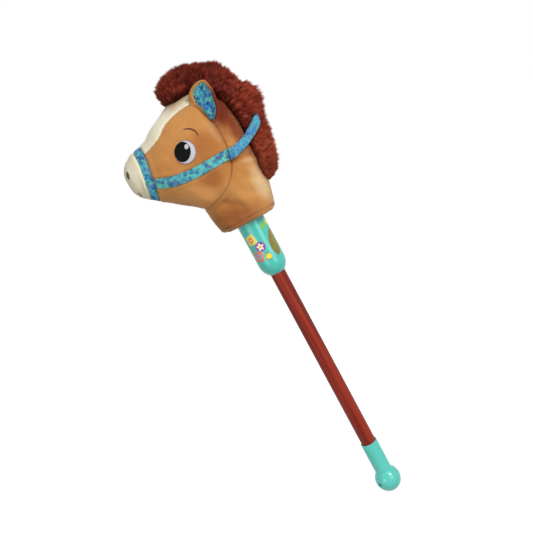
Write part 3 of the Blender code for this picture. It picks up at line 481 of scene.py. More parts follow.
def seam_tables():
    """The blaze's turn by station and the jowl's station by turn, read off their routes."""
    station, turn = find_on_form(BLAZE_ROUTE[:, 0], BLAZE_ROUTE[:, 1])
    order = np.argsort(station)
    blaze = np.stack([station[order], turn[order]])
    station, turn = find_on_form(JOWL_ROUTE[:, 0], JOWL_ROUTE[:, 1])
    order = np.argsort(turn)
    jowl = np.stack([np.r_[0.0, turn[order], math.pi], np.r_[JOWL, station[order], JOWL]])
    return blaze, jowl


BLAZE_TABLE, JOWL_TABLE = seam_tables()


def soft_read(where, table, reach):
    """A table read by interpolation and averaged over a short reach, so that it has no corners."""
    steps = np.linspace(-1, 1, 9) * reach
    return sum(np.interp(where + k, table[0], table[1]) for k in steps) / len(steps)


def blaze_turn(station):
    return soft_read(station, BLAZE_TABLE, 0.25)


def jowl_station(turn):
    return soft_read(np.abs(turn), JOWL_TABLE, 0.16)


def noseband_station(turn):
    """The noseband's middle: it bows towards the eye on each side."""
    return NOSEBAND - 0.12 * np.cos(turn) + 0.36 * np.abs(np.sin(turn)) ** 1.5


def neck_step(turn):
    """How far the neck's width steps in behind the jowl seam: less high on the side."""
    return JOWL_STEP * (1 - 0.60 * smooth(np.abs(turn), 1.45, 2.05))


def step_at(station, turn):
    """How far the cloth is drawn in."""
    return np.where(station > jowl_station(turn), neck_step(turn), 0.0)


def smooth(value, low, high):
    """Runs from 0 to 1 as the value goes from low to high, as 3 t squared less 2 t cubed."""
    t = np.clip((value - low) / (high - low), 0.0, 1.0)
    return t * t * (3 - 2 * t)


# How much further on each seam's run starts than the last one's, so that no two pucker alike
SEAM_APART = 7.3


def seam_lines():
    """Points along every seam, each with its distance along the seam."""
    head = np.linspace(NOSEBAND, JOWL, 160)
    body = np.linspace(JOWL, LAST_STATION, 160)
    nose = np.linspace(0.0, NOSEBAND, 90)
    ring = np.linspace(-math.pi, math.pi, 420)
    lines = []
    for _, side in SIDES:
        lines.append(form(head, side * blaze_turn(head)))
    lines.append(form(jowl_station(ring), ring))
    lines.append(form(head, np.zeros(len(head))))
    lines.append(form(body, np.zeros(len(body)), JOWL_STEP))
    lines.append(form(body, np.full(len(body), math.pi), JOWL_STEP))
    lines.append(form(nose, np.zeros(len(nose))))
    lines.append(form(nose, np.full(len(nose), math.pi)))
    runs = []
    for number, line in enumerate(lines):
        length = run_of(line)
        runs.append(length + number * SEAM_APART)
    return np.concatenate(lines), np.concatenate(runs)


SEAM_POINTS, SEAM_RUNS = seam_lines()


def ripple(points, wavelength, seed, count=20):
    """A smooth random height from -1 to 1: waves of about one length in many directions."""
    rng = np.random.default_rng(seed)
    ways = rng.normal(size=(count, 3))
    pace = math.tau / wavelength * rng.uniform(0.6, 1.4, count)
    ways *= (pace / np.linalg.norm(ways, axis=1))[:, None]
    phase = rng.uniform(0, math.tau, count)
    flat = points.reshape(-1, 3)
    total = np.cos(flat @ ways.T + phase).sum(1) / math.sqrt(count)
    return total.reshape(points.shape[:-1])


# Creases in the side view: from, to, depth and reach
CREASES = (
    ((0.0150, 0.0965), (0.0045, 0.0985), 0.0011, 0.0011),
    ((0.0240, 0.0990), (0.0470, 0.0930), 0.0026, 0.0046),
    ((0.0300, 0.0620), (0.0480, 0.0560), 0.0009, 0.0060),
    ((-0.0240, 0.0440), (-0.0020, 0.0300), 0.0015, 0.0050),
    ((0.0100, 0.0520), (0.0350, 0.0300), 0.0012, 0.0060),
    ((-0.0480, 0.0300), (-0.0180, 0.0120), 0.0007, 0.0040),
    ((0.0245, 0.1520), (0.0420, 0.1480), 0.0009, 0.0050),
)
HEM_LINES = (0.0072, 0.0096)
HEM_DEPTH, HEM_REACH = 0.0006, 0.0006
# Depth and wavelength of the stuffing's unevenness and of the cloth's own
SAG_DEPTH, SAG_LENGTH = 0.0010, 0.050
SOFT_DEPTH, SOFT_LENGTH = 0.00024, 0.018
# Depth and reach of the dip at a seam, narrow and wide, and of the puckers across it
SEAM_NARROW, SEAM_WIDE = (0.0010, 0.0018), (0.0009, 0.006)
PLEAT_DEPTH, PLEAT_REACH, PLEAT_LENGTH = 0.00030, 0.0060, 0.0066
# How deep a strap presses and over what half width, and of the swell beside it the height, the
# distance from the strap's middle and the reach. The noseband's distances are in stations.
BAND_PRESS = (0.0026, 0.54, 0.0008, 0.74, 0.20)
CHEEK_PRESS = (0.0008, 0.0088, 0.0007, 0.0112, 0.0030)
CHEEK_ROUTE = (
    (-0.1070, 0.1236), (-0.0870, 0.1150), (-0.0700, 0.1104), (-0.0435, 0.1067),
    (-0.0170, 0.1067), (0.0115, 0.1076), (0.0235, 0.1079),
)


def sag(points):
    """The stuffing's slow unevenness, which cloth and straps share."""
    return ripple(points, SAG_LENGTH, 3) * SAG_DEPTH


def press(away, depth, half, swell, off, reach):
    """What a strap does to the cloth at a distance from its middle."""
    return -depth * np.exp(-(away / half) ** 6) + swell * np.exp(-((away - off) / reach) ** 2)


def relief(points, station, turn):
    """How far the cloth stands off the smooth form: it dips into each seam, puckers across
    the seam where the thread draws it, swells a little between, and gives under the straps."""
    flat = points.reshape(-1, 3)
    mark = nearest(flat, SEAM_POINTS)
    gap = np.linalg.norm(flat - SEAM_POINTS[mark], axis=1).reshape(points.shape[:-1])
    run = SEAM_RUNS[mark].reshape(points.shape[:-1])
    soft = ripple(points, SOFT_LENGTH, 4) * SOFT_DEPTH
    dip = -SEAM_NARROW[0] * np.exp(-(gap / SEAM_NARROW[1]) ** 2)
    dip = dip - SEAM_WIDE[0] * np.exp(-gap / SEAM_WIDE[1])
    uneven = 0.6 + 0.4 * ripple(points, 0.030, 5)
    pleat = np.cos(run * math.tau / PLEAT_LENGTH + 2.0 * ripple(points, 0.020, 6))
    pleat = pleat * PLEAT_DEPTH * uneven * np.exp(-gap / PLEAT_REACH)
    total = sag(points) + soft * (1 - np.exp(-gap / 0.01)) + dip + pleat

    band = np.abs(station - noseband_station(turn))
    total += press(band, *BAND_PRESS)
    strap = line_gap(points, smooth_route(CHEEK_ROUTE, 40))
    total += press(strap, *CHEEK_PRESS)
    for first, last, depth, reach in CREASES:
        way = line_gap(points, np.linspace(first, last, 12))
        total -= depth * np.exp(-(way / reach) ** 2)
        total += depth * 0.35 * np.exp(-((way - 1.9 * reach) / reach) ** 2)
    height = points[..., 2] - NECK_BASE
    hem = sum(np.exp(-((height - line) / HEM_REACH) ** 2) for line in HEM_LINES)
    lip = HEM_DEPTH * (height < HEM_LINES[0]) * np.clip((height - 0.001) / 0.002, 0, 1)
    return total + np.where(station > 12, lip - HEM_DEPTH * hem, 0.0)


def line_gap(points, line):
    """How far each point is from a line in the side view."""
    seen = np.stack([points[..., 0], points[..., 2] - NECK_BASE], -1)
    first, step = line[:-1], np.diff(line, axis=0)
    near = np.full(seen.shape[:-1], 1.0)
    for a, b in zip(first, step):
        share = np.clip(((seen - a) @ b) / (b @ b), 0, 1)
        near = np.minimum(near, np.linalg.norm(seen - a - share[..., None] * b, axis=-1))
    return near


def cloth(station, turn, lift=0.0, step=None):
    """Points of the sewn cloth: the form, moved along its normal by the relief and a lift. The
    middle seam stays in the plane y = 0."""
    station, turn = np.broadcast_arrays(station, turn)
    if step is None:
        step = step_at(station, turn)
    base = form(station, turn, step)
    points = base + outward(station, turn, step) * (relief(base, station, turn) + lift)[..., None]
    middle = (np.abs(np.sin(turn)) < 1e-6) | (station < 1e-6)
    points[..., 1] = np.where(middle, 0.0, points[..., 1])
    return points


def panel(name, first, last, turns, finish, flip=False, crowd=1.0, tuck=0.0, under=False):
    """One panel of the head's cloth, with a wall on its inner side. The turns are a grid of
    rows along the panel, and the stations run between the first and last ones given for it,
    crowded towards the last by a power of the share. A tuck turns the last rows inwards, and a
    panel that starts under its neighbour comes up from below it."""
    share = 1 - (1 - np.linspace(0, 1, len(turns))[:, None]) ** crowd
    station = first + (last - first) * share
    lift = -tuck * smooth(share, 0.975, 1.0) ** 2
    step = None
    if under:
        lift = -UNDERLAP * (1 - smooth(station - jowl_station(turns), -0.02, 0.10))
        step = neck_step(turns)
    piece = put_grid(name, cloth(station, turns, lift, step), finish, flip=flip)
    return wall(piece, CLOTH_WALL)


def smooth_route(points, count):
    """Evenly spaced points on a Catmull-Rom curve through the given ones."""
    table = np.asarray(points, float)
    fine = along(table, np.linspace(0, len(table) - 1, 600))
    run = run_of(fine)
    wanted = np.linspace(0, run[-1], count)
    return np.stack([np.interp(wanted, run, fine[:, k]) for k in range(fine.shape[1])], 1)


# Stick, sleeve and knob

def turned(name, profile, finish, sides=96):
    """A turned solid: the closed profile of radius and height, carried round the Z axis."""
    profile = np.asarray(profile, float)
    turn = np.linspace(0, math.tau, sides, endpoint=False)
    points = np.stack([
        profile[:, None, 0] * np.cos(turn),
        profile[:, None, 0] * np.sin(turn),
        np.broadcast_to(profile[:, None, 1], (len(profile), sides)),
    ], -1)
    return put_grid(name, points, finish, round_rows=True, round_columns=True, flip=True)


def bend(centre, reach, start, end, count):
    """Points on an elliptic arc, from one angle to the other in degrees."""
    angle = np.radians(np.linspace(start, end, count))
    return np.stack([
        centre[0] + reach[0] * np.cos(angle), centre[1] + reach[1] * np.sin(angle)
    ], 1)


def runs(*pieces):
    return np.concatenate([np.atleast_2d(piece) for piece in pieces])


# Sizes of the rigid pieces, as in the solids
STICK_RADIUS = 0.0127
STICK_FROM, STICK_TO = 0.0508, 0.6383
KNOB_TOP = 0.0968
BALL_RADIUS = 0.0224
BALL_CENTRE = 0.0216
SOCKET_RADIUS = 0.0147
VENT_TURN, VENT_RISE = 0.62, 0.04
SLEEVE_RADIUS = 0.0233
SLEEVE_FROM, SLEEVE_TO = 0.4313, 0.5663
DOME_HEIGHT = 0.0215
FIT = 0.0003
STICK_WALL, KNOB_WALL, SLEEVE_WALL = 0.0018, 0.0026, 0.0024
VENT_RADIUS = 0.0029
# Rounds at the tube's ends and the knob's bore, at the socket's rim, where socket meets ball,
# and at the sleeve's lower edge
EDGE, RIM = 0.0006, 0.0009
FILLET, FILLET_HEIGHT = (0.0016, 0.0020), 0.0392
SLEEVE_LIP = (0.0005, 0.0006)
# Where the knob's hollow ends, and the height of the seat that the tube stands on
HOLLOW_TOP, SEAT_HEIGHT = 0.048, 0.0505
# The height of a row part way along each straight wall
STICK_ROW, SOCKET_ROW, SLEEVE_ROW = 0.30, 0.060, 0.52

ORANGE, YELLOW, PURPLE = (0.93, 0.45, 0.16), (0.92, 0.86, 0.24), (0.56, 0.24, 0.62)
OLIVE, GREEN, CREAM = (0.50, 0.44, 0.13), (0.50, 0.73, 0.22), (0.96, 0.92, 0.78)
SKY, PINK = (0.45, 0.68, 0.86), (0.92, 0.56, 0.66)


class Print:
    """Flat motifs on the unrolled wall of the sleeve: x is the way round in metres, from the
    side that faces the viewer, and z is the height."""

    def __init__(self, look, tone):
        self.look, self.tone = look, tone
        px, py, pz = look.parts(look.place())
        self.x = look.math("ARCTAN2", px, py * -1.0) * SLEEVE_RADIUS
        self.z = pz

    def about(self, place, tilt):
        """Coordinates about a motif's own middle and axes."""
        x, z = self.x - place[0], self.z - place[1]
        c, s = math.cos(tilt), math.sin(tilt)
        return x * c + z * s, z * c - x * s

    def lay(self, away, edge, colour):
        """Ink where the distance is under the edge, over a print's fine soft margin."""
        share = 1.0 - self.look.step(away, edge - 0.00012, edge + 0.00012)
        self.tone = self.look.mix(share, self.tone, colour)

    def square(self, place, half, colour, tilt=0.0):
        """Distance from a square that is smaller by its corner's radius."""
        look, corner = self.look, half * 0.38
        u, v = self.about(place, tilt)
        a = look.math("MAXIMUM", look.math("ABSOLUTE", u) - (half - corner), 0.0)
        b = look.math("MAXIMUM", look.math("ABSOLUTE", v) - (half - corner), 0.0)
        self.lay(look.math("SQRT", a * a + b * b), corner, colour)

    def spot(self, place, radius, colour):
        u, v = self.about(place, 0.0)
        self.lay(self.look.math("SQRT", u * u + v * v), radius, colour)

    def leaf(self, place, length, width, colour, tilt):
        """The overlap of two equal circles: the greater of the distances from their middles."""
        look = self.look
        u, v = self.about(place, tilt)
        radius = (length**2 + width**2) / (4 * width)
        shift = radius - width / 2
        one = look.math("SQRT", u * u + (v - shift) * (v - shift))
        two = look.math("SQRT", u * u + (v + shift) * (v + shift))
        self.lay(look.math("MAXIMUM", one, two), radius, colour)

    def star(self, place, radius, colour, points=5):
        """A rounded star: the radius swings with the angle about the middle."""
        look = self.look
        u, v = self.about(place, 0.3)
        turn = look.math("ARCTAN2", v, u) * float(points)
        swing = look.math("COSINE", turn) * 0.26 + 0.80
        self.lay(look.math("SQRT", u * u + v * v) / swing, radius, colour)

    def vein(self, place, length, width, colour, tilt, pitch):
        """Fine hatching inside a leaf's middle."""
        look = self.look
        u, v = self.about(place, tilt)
        wave = look.math("SINE", (u + look.math("ABSOLUTE", v) * 0.8) * (math.tau / pitch))
        inside = 1.0 - look.step(look.math("ABSOLUTE", v), width * 0.20, width * 0.34)
        ends = 1.0 - look.step(look.math("ABSOLUTE", u), length * 0.28, length * 0.34)
        self.tone = look.mix(look.step(wave, 0.5, 1.0) * inside * ends * 0.6, self.tone, colour)


# Each motif's middle, and its shapes from the lowest ink to the highest
SLEEVE_MOTIFS = (
    ((-0.0152, 0.4990), (
        ("square", 0.0082, YELLOW, 0.20), ("spot", 0.0045, ORANGE), ("spot", 0.0020, CREAM),
    )),
    ((-0.0058, 0.4832), (
        ("spot", 0.0086, PURPLE), ("star", 0.0060, CREAM), ("spot", 0.0016, ORANGE),
    )),
    ((-0.0165, 0.4693), (
        ("square", 0.0082, ORANGE, -0.25), ("square", 0.0046, SKY, -0.25),
        ("square", 0.0020, ORANGE, 0.5),
    )),
    ((-0.0005, 0.4640), (("spot", 0.0060, OLIVE), ("spot", 0.0049, YELLOW))),
    ((0.0225, 0.4810), (
        ("leaf", 0.0500, 0.0240, OLIVE, 1.30), ("vein", 0.0500, 0.0240, GREEN, 1.30, 0.0024),
    )),
    ((0.0165, 0.5120), (("leaf", 0.0170, 0.0080, GREEN, 0.45),)),
    ((0.0270, 0.5150), (("leaf", 0.0130, 0.0060, YELLOW, 2.10),)),
    ((0.0440, 0.4960), (("spot", 0.0068, ORANGE), ("star", 0.0046, YELLOW, 6))),
    ((0.0530, 0.4740), (("square", 0.0066, PURPLE, 0.35), ("spot", 0.0034, PINK))),
    ((-0.0430, 0.4860), (
        ("leaf", 0.0400, 0.0140, OLIVE, 1.80), ("vein", 0.0400, 0.0140, GREEN, 1.80, 0.0022),
    )),
    ((-0.0610, 0.5000), (("square", 0.0064, SKY, -0.15), ("star", 0.0044, CREAM))),
    ((-0.0620, 0.4720), (("spot", 0.0062, YELLOW), ("spot", 0.0030, GREEN))),
)


def sleeve_art(look, ground):
    """The sleeve's print over its plastic: plain tiles, spots, stars and leaves."""
    art = Print(look, ground)
    inks = {
        "square": art.square, "spot": art.spot, "star": art.star, "leaf": art.leaf, "vein": art.vein,
    }
    for place, shapes in SLEEVE_MOTIFS:
        for kind, *sizes in shapes:
            inks[kind](place, *sizes)
    return art.tone


def painted_stick(name):
    """Brown satin over a tube, with faint streaks that run along it and a few handling marks."""
    look = Finish(name, specular=0.20)
    x, y, z = look.parts(look.place())
    stretched = look.join(x, y, z * 0.035)
    streak = look.noise(stretched, 420.0, 3.0, 0.6)
    wide = look.noise(stretched, 110.0, 2.0, 0.5)
    mark = look.noise(look.place(), 160.0, 4.0, 0.7)
    tone = look.mix(look.step(wide, 0.35, 0.65), (0.45, 0.108, 0.060), (0.58, 0.172, 0.090))
    tone = look.mix(look.step(streak, 0.52, 0.72) * 0.25, tone, (0.66, 0.27, 0.17))
    rough = 0.46 + look.step(mark, 0.50, 0.75) * 0.14
    return look.set(base_color=tone, roughness=rough, normal=look.bump(streak, 0.00006, 0.4))


TEAL, TEAL_SHADE = (0.34, 0.81, 0.75), (0.29, 0.76, 0.70)
# The sleeve's teal and mottle are the knob's painted darker: painted shade against the stronger
# light on the sleeve
SHADED_SLEEVE_TEAL, SHADED_SLEEVE_MOTTLE = (0.265, 0.755, 0.700), (0.215, 0.715, 0.655)


def rigid_pieces():
    """The stick, the knob with its vent and the printed grip sleeve."""
    r = STICK_RADIUS
    stick = turned("stick", runs(
        bend((r - EDGE, STICK_TO - EDGE), (EDGE, EDGE), 90, 0, 4),
        (r, STICK_ROW),
        bend((r - EDGE, STICK_FROM + EDGE), (EDGE, EDGE), 0, -90, 4),
        (r - STICK_WALL, STICK_FROM),
        (r - STICK_WALL, STICK_TO),
    ), painted_stick("stick_satin"))
    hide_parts("stick_tube")

    join = math.degrees(math.acos((SOCKET_RADIUS + 0.0004) / BALL_RADIUS))
    hollow = BALL_RADIUS - KNOB_WALL
    knob = turned("knob", runs(
        bend((SOCKET_RADIUS - RIM, KNOB_TOP - RIM), (RIM, RIM), 90, 0, 6),
        (SOCKET_RADIUS, SOCKET_ROW),
        bend((SOCKET_RADIUS + FILLET[0], FILLET_HEIGHT), FILLET, 180, 215, 5),
        bend((0.0, BALL_CENTRE), (BALL_RADIUS, BALL_RADIUS), join - 4, -74.5, 40),
        (0.0004, 0.0),
        (0.0004, KNOB_WALL),
        bend((0.0, BALL_CENTRE), (hollow, hollow), -80, 55, 20),
        (r - STICK_WALL, HOLLOW_TOP),
        (r + FIT, SEAT_HEIGHT),
        (r + FIT, KNOB_TOP - EDGE),
        bend((r + FIT + EDGE, KNOB_TOP - EDGE), (EDGE, EDGE), 180, 90, 4),
    ), plastic("teal_plastic", TEAL, TEAL_SHADE))
    flat = math.cos(VENT_RISE)
    way = np.array((-math.cos(VENT_TURN) * flat, -math.sin(VENT_TURN) * flat, math.sin(VENT_RISE)))
    vent = way * (BALL_RADIUS - KNOB_WALL / 2) + np.array((0, 0, BALL_CENTRE))
    drill(knob, vent, way, VENT_RADIUS)
    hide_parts("end_knob")

    bore = r + FIT
    reach = math.degrees(math.acos(bore / SLEEVE_RADIUS))
    tall = DOME_HEIGHT / math.sin(math.radians(reach))
    dome = SLEEVE_FROM + DOME_HEIGHT
    sleeve = turned("sleeve", runs(
        (SLEEVE_RADIUS, SLEEVE_TO),
        (SLEEVE_RADIUS, SLEEVE_ROW),
        bend((0.0, dome), (SLEEVE_RADIUS, tall), 0, -reach + 1.5, 28),
        bend((bore + SLEEVE_LIP[0], SLEEVE_FROM + SLEEVE_LIP[1]), SLEEVE_LIP, -40, -180, 5),
        bend((0.0, dome), (SLEEVE_RADIUS - SLEEVE_WALL, tall - SLEEVE_WALL), -reach + 6, 0, 12),
        (SLEEVE_RADIUS - SLEEVE_WALL, SLEEVE_TO),
    ), plastic("sleeve_print", SHADED_SLEEVE_TEAL, SHADED_SLEEVE_MOTTLE, sleeve_art), sides=128)
    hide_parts("grip_sleeve")
    for piece, slot in ((stick, "stick_tube"), (knob, "end_knob"), (sleeve, "grip_sleeve")):
        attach(piece, "head_and_stick")


def small_parts():
    """Finishes for the rigid parts that keep their solids: caps, collars, pin and tie."""
    teal = bpy.data.materials["teal_plastic"]
    black = plastic("black_cap_plastic", (0.10, 0.10, 0.11), (0.14, 0.14, 0.15))
    nylon = plastic("pale_nylon", (0.86, 0.85, 0.80), (0.78, 0.77, 0.71))
    steel = Finish("pin_steel", metallic=1.0)
    x, y, z = steel.parts(steel.place())
    brushed = steel.noise(steel.join(x * 6.0, y * 0.2, z * 6.0), 300.0, 3.0)
    grey = steel.mix(brushed, (0.70, 0.70, 0.71), (0.82, 0.82, 0.83))
    scratched = steel.bump(brushed, 0.00003)
    steel = steel.set(base_color=grey, roughness=0.24 + brushed * 0.18, normal=scratched)
    for node, finish in (
        ("stick_top_cap", black),
        ("sleeve_lower_collar", teal),
        ("sleeve_upper_collar", teal),
        ("sleeve_cross_pin", steel),
        ("neck_tie", nylon),
    ):
        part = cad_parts[node]
        for slot in part.material_slots:
            slot.material = finish


def drill(piece, place, way, radius):
    """Cuts a round hole: a bar of points round the way is taken out with a Boolean."""
    a = unit(np.cross(way, (0.0, 0.0, 1.0)))
    b = np.cross(way, a)
    turn = np.linspace(0, math.tau, 40, endpoint=False)[:, None]
    ring = (np.cos(turn) * a + np.sin(turn) * b) * radius
    ends = np.linspace(-0.006, 0.006, 2)[:, None, None]
    bar = close_grid("bar", place + ring[None] + way * ends, piece.data.materials[0])
    hole = piece.modifiers.new("hole", "BOOLEAN")
    hole.object = bar
    graph = bpy.context.evaluated_depsgraph_get()
    cut = bpy.data.meshes.new_from_object(piece.evaluated_get(graph))
    piece.modifiers.clear()
    piece.data = cut
    cut.name = piece.name
    bpy.data.objects.remove(bar)


# The head's cloth

TAN, TAN_SHADE, TAN_LIGHT = (0.770, 0.535, 0.290), (0.715, 0.462, 0.232), (0.910, 0.695, 0.440)
CORE_DEPTH = 0.0034
CUFF_GAP = 0.0004
CUFF_RISE, CUFF_ROWS, CUFF_WALL = (0.0024, 0.0130), 8, 0.0009
# The base starts at this share of the hem's reach, at a height, and dishes up by a depth
BASE_FROM, BASE_HEIGHT, BASE_DISH, BASE_PUCKER = 0.985, 0.0014, 0.0018, 0.0007
# Colours of painted light and shade on the cloth: shade, shade with a red reflection of the fur,
# highlight, shade at the hem, rosy light on the jaw, shade under the forelock and highlight on the
# blaze
PAINTED_SHADE_TAN, PAINTED_RED_SHADE_TAN, PAINTED_HIGHLIGHT_TAN = (0.640, 0.382, 0.180), (0.440, 0.150, 0.060), (0.870, 0.760, 0.570)
PAINTED_HEM_SHADE_TAN = (0.600, 0.350, 0.170)
PAINTED_ROSY_LIGHT_TAN, PAINTED_SHADE_STRAW, PAINTED_HIGHLIGHT_CREAM = (0.860, 0.600, 0.350), (0.690, 0.550, 0.350), (0.950, 0.930, 0.850)
# Patches of painted light and shade on the tan cloth: a middle in the side view, a width and a
# height, a tilt, a colour and a share
TAN_LIGHT_AND_SHADE_PATCHES = (
    # Painted shade round the eye and cheek
    ((-0.0060, 0.1280), 0.050, 0.040, 0.3, PAINTED_SHADE_TAN, 0.70),
    # Painted shade on the lower cheek, below the strap
    ((-0.0220, 0.0850), 0.034, 0.022, 0.3, PAINTED_SHADE_TAN, 0.85),
    # Painted highlight in front of the jowl seam, high up
    ((0.0140, 0.1480), 0.008, 0.024, 0.1, PAINTED_HIGHLIGHT_TAN, 0.22),
    # Painted light on the jaw, rosy
    ((-0.0450, 0.0720), 0.050, 0.020, -0.5, PAINTED_ROSY_LIGHT_TAN, 0.75),
    # Painted shade on the neck's front, under the jowl
    ((-0.0280, 0.0320), 0.036, 0.036, 0.0, PAINTED_SHADE_TAN, 0.65),
    # Painted shade at the hem
    ((-0.0160, 0.0170), 0.060, 0.027, 0.0, PAINTED_HEM_SHADE_TAN, 0.90),
    # Painted highlight low on the back of the neck
    ((0.0440, 0.0460), 0.019, 0.040, 0.0, PAINTED_HIGHLIGHT_TAN, 0.75),
    # Painted shade in the fold under the rein
    ((0.0230, 0.0960), 0.026, 0.008, -0.1, PAINTED_SHADE_TAN, 0.55),
    # Painted highlight beside the fold, under the rein
    ((0.0420, 0.0860), 0.016, 0.007, -0.3, PAINTED_HIGHLIGHT_TAN, 0.40),
    # Painted shade with a painted red reflection of the fur, along the mane's foot, in three patches
    ((0.0410, 0.1730), 0.034, 0.056, -0.20, PAINTED_RED_SHADE_TAN, 1.00),
    ((0.0480, 0.1330), 0.019, 0.050, 0.0, PAINTED_RED_SHADE_TAN, 0.80),
    ((0.0550, 0.0750), 0.010, 0.050, 0.0, PAINTED_RED_SHADE_TAN, 0.55),
)
# Patches of painted light and shade on the cream cloth
CREAM_LIGHT_AND_SHADE_PATCHES = (
    # Painted shade under the forelock, straw coloured
    ((-0.0100, 0.2220), 0.040, 0.022, 0.2, PAINTED_SHADE_STRAW, 0.90),
    # Painted highlight along the blaze
    ((-0.0600, 0.1960), 0.050, 0.010, 0.55, PAINTED_HIGHLIGHT_CREAM, 0.50),
)
CREAM_CLOTH = (0.905, 0.868, 0.750)
CREAM_SHADE, CREAM_LIGHT = (0.865, 0.815, 0.680), (0.960, 0.940, 0.860)
# How far the panels stop short of each seam, in stations, but in radians at the blaze
NOSEBAND_SEAM, BLAZE_SEAM, JOWL_SEAM = 0.008, 0.004, 0.002
# The neck's cloth starts this many stations before the jowl, under the face's
NECK_UNDER = 0.10
SEAM_TUCK = 0.0008


def head_cloth():
    """Muzzle, face, blaze and neck, each panel dipping into the seams that it shares, over a
    stuffed core that closes the seams from within."""
    tan = velour("tan_velour", TAN, TAN_SHADE, TAN_LIGHT, TAN_LIGHT_AND_SHADE_PATCHES)
    cream = velour("cream_velour", CREAM_CLOTH, CREAM_SHADE, CREAM_LIGHT, CREAM_LIGHT_AND_SHADE_PATCHES)
    share = np.linspace(0, 1, 160)[None]
    rows = np.linspace(NOSEBAND, JOWL, 160)[:, None]
    nose = np.broadcast_to(np.linspace(0, math.pi, 120), (110, 120))
    cheek = share * (blaze_turn(rows) - BLAZE_SEAM)
    neck = np.broadcast_to(np.linspace(0, math.pi, 140), (205, 140))
    nose_end = noseband_station(nose) - NOSEBAND_SEAM
    face_ends = noseband_station(cheek) + NOSEBAND_SEAM, jowl_station(cheek) - JOWL_SEAM
    neck_start = jowl_station(neck) - NECK_UNDER
    made = (
        ("muzzle", 0.0, nose_end, nose, cream, {}),
        ("face", *face_ends, cheek, tan, {"tuck": SEAM_TUCK}),
        ("neck", neck_start, LAST_STATION, neck, tan, {"crowd": 1.35, "under": True}),
    )
    for word, side in SIDES:
        for name, first, last, turns, finish, extra in made:
            whole = name + "_" + word
            piece = panel(whole, first, last, turns * side, finish, flip=side > 0, **extra)
            node = name + "_panel_" + word
            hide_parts(node)
            dress(piece, node)
    edge = blaze_turn(rows) + BLAZE_SEAM
    across = edge + (math.tau - 2 * edge) * np.linspace(0, 1, 100)[None]
    mirrored = math.pi - np.abs(across - math.pi)
    first, last = noseband_station(mirrored) + NOSEBAND_SEAM, jowl_station(mirrored) - JOWL_SEAM
    blaze = panel("blaze", first, last, across, cream, flip=True, tuck=SEAM_TUCK)
    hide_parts("blaze_panel")
    dress(blaze, "blaze_panel")
    stuffed_core()
    neck_base(tan)


def stuffed_core():
    """The stuffing under the cloth: the form drawn in by a little more than the cloth's wall. Its
    brown is painted shade, seen as a dark line in the seams.
    """
    seam_shade = Finish("painted_seam_shade", specular=0.1, roughness=0.95)
    fleck = seam_shade.noise(seam_shade.place(), 700.0, 3.0, 0.6)
    seam_shade = seam_shade.set(base_color=seam_shade.mix(fleck, (0.52, 0.33, 0.18), (0.64, 0.42, 0.24)))
    round_ways = np.linspace(-math.pi, math.pi, 96, endpoint=False)
    station, turn = np.meshgrid(np.linspace(0.25, 16.2, 110), round_ways, indexing="ij")
    step = JOWL_STEP * smooth(station, 8.0, 8.6)
    points = form(station, turn, step) - outward(station, turn, step) * CORE_DEPTH
    core = close_grid("stuffing", points, seam_shade, flip=True)
    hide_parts("head_stuffing", "neck_stuffing")
    dress(core, "head_stuffing")


def neck_base(finish):
    """The cloth under the neck: rings that run from the hem to the sleeve and dish upwards,
    puckered where the tie draws them in, and then the cuff up the sleeve."""
    turn = np.linspace(-math.pi, math.pi, 240, endpoint=False)
    edge = form(np.full(len(turn), LAST_STATION), turn, neck_step(turn))
    angle = np.arctan2(edge[:, 1], edge[:, 0])
    hug = SLEEVE_RADIUS + CUFF_GAP
    ring = np.stack([hug * np.cos(angle), hug * np.sin(angle)], 1)
    t = np.linspace(0, 1, 26)[:, None]
    flat = edge[None, :, :2] * BASE_FROM * (1 - t[..., None]) + ring[None] * t[..., None]
    pucker = BASE_PUCKER * np.cos(28 * angle + 2 * np.sin(3 * angle)) * 4 * t**2 * (1 - t)
    rise = BASE_HEIGHT + BASE_DISH * np.sin(math.pi * t) + pucker
    low = np.concatenate([flat, (NECK_BASE + rise)[..., None]], -1)
    climb = np.linspace(*CUFF_RISE, CUFF_ROWS)[:, None]
    tall = np.broadcast_to(NECK_BASE + climb, (CUFF_ROWS, len(turn)))[..., None]
    high = np.concatenate([np.broadcast_to(ring, (CUFF_ROWS,) + ring.shape), tall], -1)
    base = put_grid("neck_base", np.concatenate([low, high]), finish, round_columns=True)
    wall(base, CUFF_WALL)
    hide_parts("neck_base_panel")
    dress(base, "neck_base_panel")


def dress(piece, slot, body="head_and_stick"):
    """Lets a soft piece ride on its body. The slot is not used."""
    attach(piece, body)


# Bridle and rein

STRAP_WIDTH = 0.0158
# Half of the noseband's width in stations
NOSEBAND_HALF = 0.46
# How deep the cheek strap's front end sinks under the noseband
STRAP_SINKS = 0.0034
NOSEBAND_LIFT, STRAP_LIFT = -0.0012, 0.0004
NOSEBAND_WALL, STRAP_WALL = 0.0016, 0.0014
# How far under the rein the cheek strap lies, and where along x it leaves the cloth for it
REIN_SEAT = 0.0001
STRAP_LEAVES = (0.0, 0.0155)
REIN_AXIS = (0.0200, 0.1076)
REIN_ROUTE = (
    (0.0200, 0.0572, 0.1060), (0.0310, 0.0567, 0.1072), (0.0439, 0.0545, 0.1108),
    (0.0576, 0.0495, 0.1167), (0.0715, 0.0400, 0.1254), (0.0828, 0.0290, 0.1349),
    (0.0900, 0.0155, 0.1432), (0.0925, 0.0000, 0.1475),
)
REIN_TILT, REIN_LEAN, REIN_WALL = 0.60, 0.90, 0.0016
